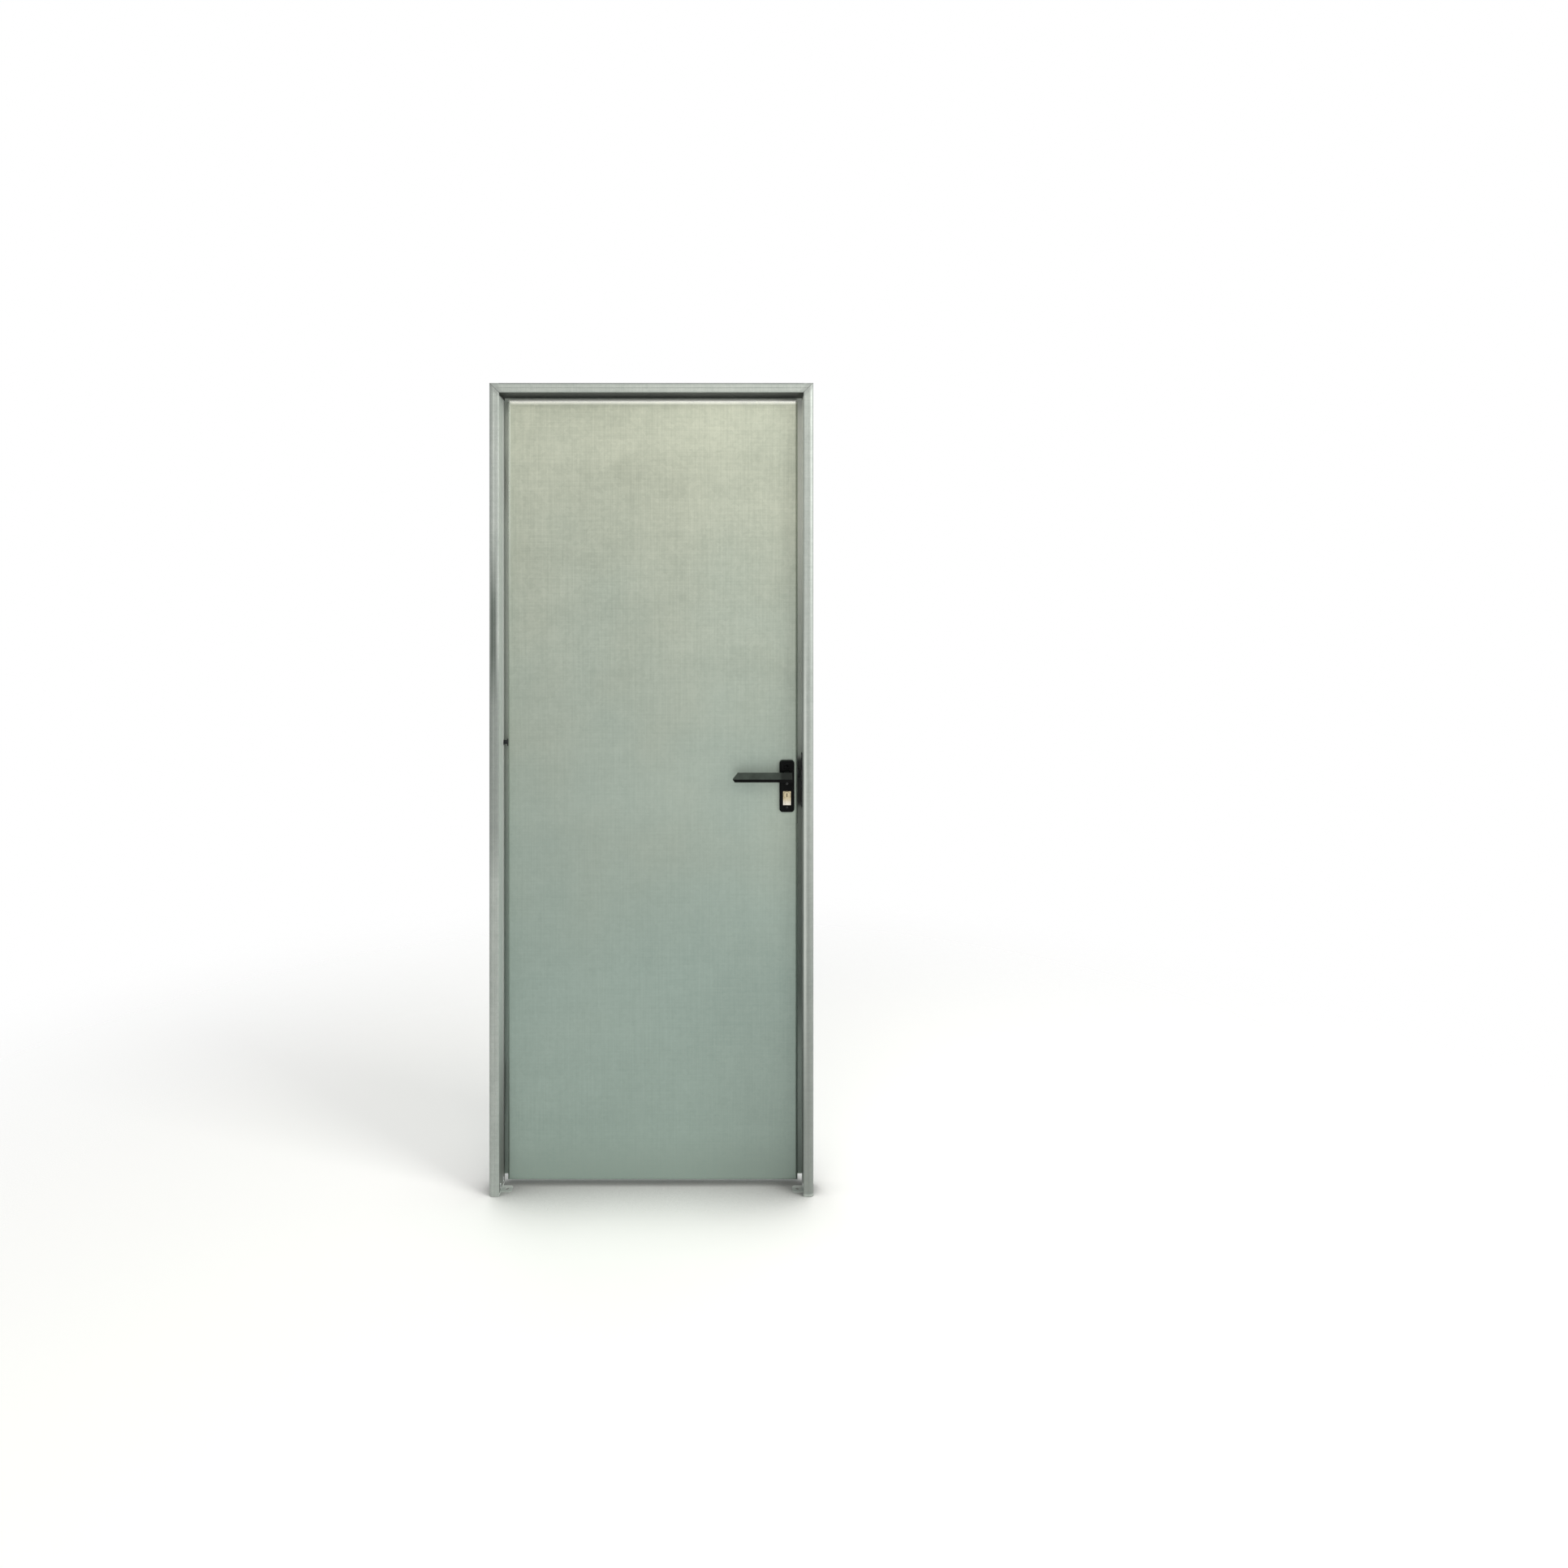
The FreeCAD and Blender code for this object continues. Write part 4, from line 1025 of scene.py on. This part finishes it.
# %% Weld beads
FRONT_LIP = 0.022
REAR_LIP = 0.017
STRAP_HALF = 0.017
ANCHOR_WELD_HALF = 0.013
HINGE_WELD = (0.004, 0.024)
FOOT_WELD = (0.010, 0.024)
WELD_INSET = 0.0026
jamb_low, jamb_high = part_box("hinge_jamb")
anchor_low, anchor_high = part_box("hinge_jamb_anchors")
jamb_middle = (jamb_low.z + jamb_high.z) / 2
anchor_rows = (anchor_low.z + STRAP_HALF, jamb_middle, anchor_high.z - STRAP_HALF)
lip_edges = ((jamb_low.y + FRONT_LIP, 1), (jamb_high.y - REAR_LIP, -1))
for jamb_name, wall_x, inward in (("hinge", cad_low.x, 1), ("lock", cad_high.x, -1)):
    bm = bmesh.new()
    x = wall_x + inward * WELD_INSET
    for z in anchor_rows:
        for y, side in lip_edges:
            bead(bm, (x, y, z - ANCHOR_WELD_HALF), (x, y, z + ANCHOR_WELD_HALF), (0, side, 0))
    add_piece(jamb_name + "_anchor_welds", "frame", "zinc_plated_steel", bm)

near, far = HINGE_WELD
for place in ("lower", "upper"):
    low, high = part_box(place + "_hinge_frame_flag")
    bm = bmesh.new()
    x, y = high.x, jamb_high.y
    bead(bm, (x, y, low.z + near), (x, y, low.z + far), (1, 1, 0))
    bead(bm, (x, y, high.z - far), (x, y, high.z - near), (1, 1, 0))
    add_piece(place + "_hinge_welds", "frame", "zinc_plated_steel", bm)

near, far = FOOT_WELD
for jamb_name, inward in (("hinge", 1), ("lock", -1)):
    low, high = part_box(jamb_name + "_foot_tab")
    bm = bmesh.new()
    x = (low.x if inward > 0 else high.x) + inward * WELD_INSET
    for y in (low.y, high.y):
        bead(bm, (x, y, near), (x, y, far), (-inward, 0, 0))
    add_piece(jamb_name + "_foot_welds", "frame", "zinc_plated_steel", bm)

# %% [markdown]
# ## Floor and background
# The door stands on a plain pale floor that fades into a white background. Seen by the camera
# the floor is a third paler than the light on it gives, so it comes out white. It still keeps
# the soft shadow of the door, and darkens close to whatever stands on it or just above it. It
# fades out with distance, because an endless plane would draw a hard horizon, and it does so
# sooner for the camera than for the light that it throws back at the door.

# %% Floor
FLOOR_RADIUS = 7.0
FLOOR_SIDES = 96
FLOOR_DROP = 0.0005
SPECKLE_SCALE = 300.0
FADE_START = 2.6
FADE_END = 5.5
SEEN_FADE_START = 0.9
SEEN_FADE_END = 2.9
CAMERA_WHITE = 1.36
CONTACT_REACH = 0.30
CONTACT_SHADE = 0.25
CONTACT_SPAN = (0.22, 1.0)
FLOOR_DARK = screen_colour(244, 245, 244)
FLOOR_LIGHT = screen_colour(251, 251, 250)
door_middle = (cad_low + cad_high) / 2

bm = bmesh.new()
bmesh.ops.create_circle(bm, cap_ends=True, segments=FLOOR_SIDES, radius=FLOOR_RADIUS)
floor_mesh = bpy.data.meshes.new("floor")
bm.to_mesh(floor_mesh)
bm.free()
floor = bpy.data.objects.new("floor", floor_mesh)
floor.location = (door_middle.x, 0, cad_low.z - FLOOR_DROP)
bpy.context.scene.collection.objects.link(floor)
floor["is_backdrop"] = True

material, bench, place = start_finish("pale_floor")
distance = bench.node("ShaderNodeVectorMath", {"operation": "LENGTH"}, {0: place}, "Value")
speckle = bench.ramp(bench.noise(place, SPECKLE_SCALE), -0.3, 0.3)
base = bench.mix(speckle, FLOOR_DARK, FLOOR_LIGHT)
seen = bench.node("ShaderNodeLightPath", {}, {}, "Is Camera Ray")
open_air = bench.ramp(bench.openness(CONTACT_REACH), *CONTACT_SPAN)
contact = CONTACT_SHADE + (1 - CONTACT_SHADE) * open_air
lift = {0: base, "Scale": CAMERA_WHITE * contact}
lifted = bench.node("ShaderNodeVectorMath", {"operation": "SCALE"}, lift)
matt = bench.node("ShaderNodeBsdfDiffuse", {}, {"Color": bench.mix(seen, base, lifted)})
clear = bench.node("ShaderNodeBsdfTransparent")
seen_fade = seen * bench.ramp(distance, SEEN_FADE_START, SEEN_FADE_END)
faded = seen_fade.larger(bench.ramp(distance, FADE_START, FADE_END))
surface = bench.node("ShaderNodeMixShader", {}, {0: faded, 1: matt, 2: clear})
bench.node("ShaderNodeOutputMaterial", {}, {"Surface": surface})
floor_mesh.materials.append(material)
print("floor fades out between", FADE_START, "and", FADE_END, "m")

# %% [markdown]
# ## World and lamps
# Bare zinc mostly mirrors what stands before it, so the light is shaped by what the door sees: a
# white surround, dimmer on the left, a pale floor, and a wide soft box high in front, which
# brightens the upper half of the leaf and lets it fall off towards the foot. A second box from
# the right picks out the rounded lip, and a weak one lights the back.

# %% World
SURROUND = 0.55
LEFT_MIRRORED = 0.55
LEFT_TO_RIGHT = (-0.9, 0.5)
world = bpy.data.worlds.new("studio")
world.use_nodes = True
bpy.context.scene.world = world
bench = Bench(world.node_tree)
seen = bench.node("ShaderNodeLightPath", {}, {}, "Is Camera Ray")
mirrored = seen.other("Is Glossy Ray").larger(seen.other("Is Transmission Ray"))
sideways, _, _ = bench.parts(bench.node("ShaderNodeTexCoord", {}, {}, "Generated"))
mirror_light = LEFT_MIRRORED + (1 - LEFT_MIRRORED) * bench.ramp(sideways, *LEFT_TO_RIGHT)
lighting = SURROUND * (1 - mirrored) + mirror_light * mirrored
strength = lighting * (1 - seen) + seen
backdrop = bench.node("ShaderNodeBackground", {}, {"Color": (1, 1, 1, 1), "Strength": strength})
bench.node("ShaderNodeOutputWorld", {}, {"Surface": backdrop})
print("the surround lights the door at", SURROUND)

# %% Lamps
def soft_box(name, place, target, width, height, power, tint):
    lamp = bpy.data.lights.new(name, "AREA")
    lamp.shape = "RECTANGLE"
    lamp.size = width
    lamp.size_y = height
    lamp.energy = power
    lamp.color = screen_colour(*tint)[:3]
    holder = bpy.data.objects.new(name, lamp)
    holder.location = place
    holder.rotation_mode = "QUATERNION"
    holder.rotation_quaternion = (Vector(target) - Vector(place)).to_track_quat("-Z", "Y")
    bpy.context.scene.collection.objects.link(holder)
    print(f"{name}: {power} W from {place}")


soft_box(
    "high_front_box", place=(0.3, -4.4, 4.0), target=(0.4, 0, 1.4),
    width=4.0, height=1.8, power=42, tint=(255, 249, 232),
)
soft_box(
    "right_box", place=(3.4, -2.0, 2.6), target=(0.5, 0, 1.2),
    width=1.6, height=2.4, power=75, tint=(255, 255, 250),
)
soft_box(
    "back_box", place=(-1.8, 3.6, 2.8), target=(0.4, 0, 1.0),
    width=2.4, height=2.0, power=12, tint=(250, 252, 255),
)

# %% [markdown]
# ## Camera
# The photograph looks straight through the doorway. Its frame is 3.86 m wide at the door and the
# door stands left of its middle, so the camera stands to the right of the door's middle and above
# the lever, and a small shift brings the door to its place in the picture.

# %% Camera
PICTURE_WIDTH = 3.859
PICTURE_ACROSS = 0.689
PICTURE_LEVEL = 1.016
CAMERA_DISTANCE = 2.5
CAMERA_SIDE = 0.58
CAMERA_HEIGHT = 1.4
SENSOR_WIDTH = 36.0

lens = bpy.data.cameras.new("camera")
lens.sensor_width = SENSOR_WIDTH
lens.lens = SENSOR_WIDTH * CAMERA_DISTANCE / PICTURE_WIDTH
lens.shift_x = (PICTURE_ACROSS - CAMERA_SIDE) / PICTURE_WIDTH
lens.shift_y = (PICTURE_LEVEL - CAMERA_HEIGHT) / PICTURE_WIDTH
camera = bpy.data.objects.new("camera", lens)
camera.location = (CAMERA_SIDE, FRAME_FRONT - CAMERA_DISTANCE, CAMERA_HEIGHT)
camera.rotation_euler = (math.radians(90), 0, 0)
bpy.context.scene.collection.objects.link(camera)
bpy.context.scene.camera = camera
bpy.context.scene.view_settings.view_transform = "Standard"
print(f"lens {lens.lens:.1f} mm, shift {lens.shift_x:.3f} across and {lens.shift_y:.3f} up")

# %% [markdown] ## Sizes The box of the dressed door is printed.
# The dressed door has to stay inside the box of its solids.

# %% Print the visual box
low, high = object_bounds()
print("visual box", [round(value, 4) for value in (*low, *high)])
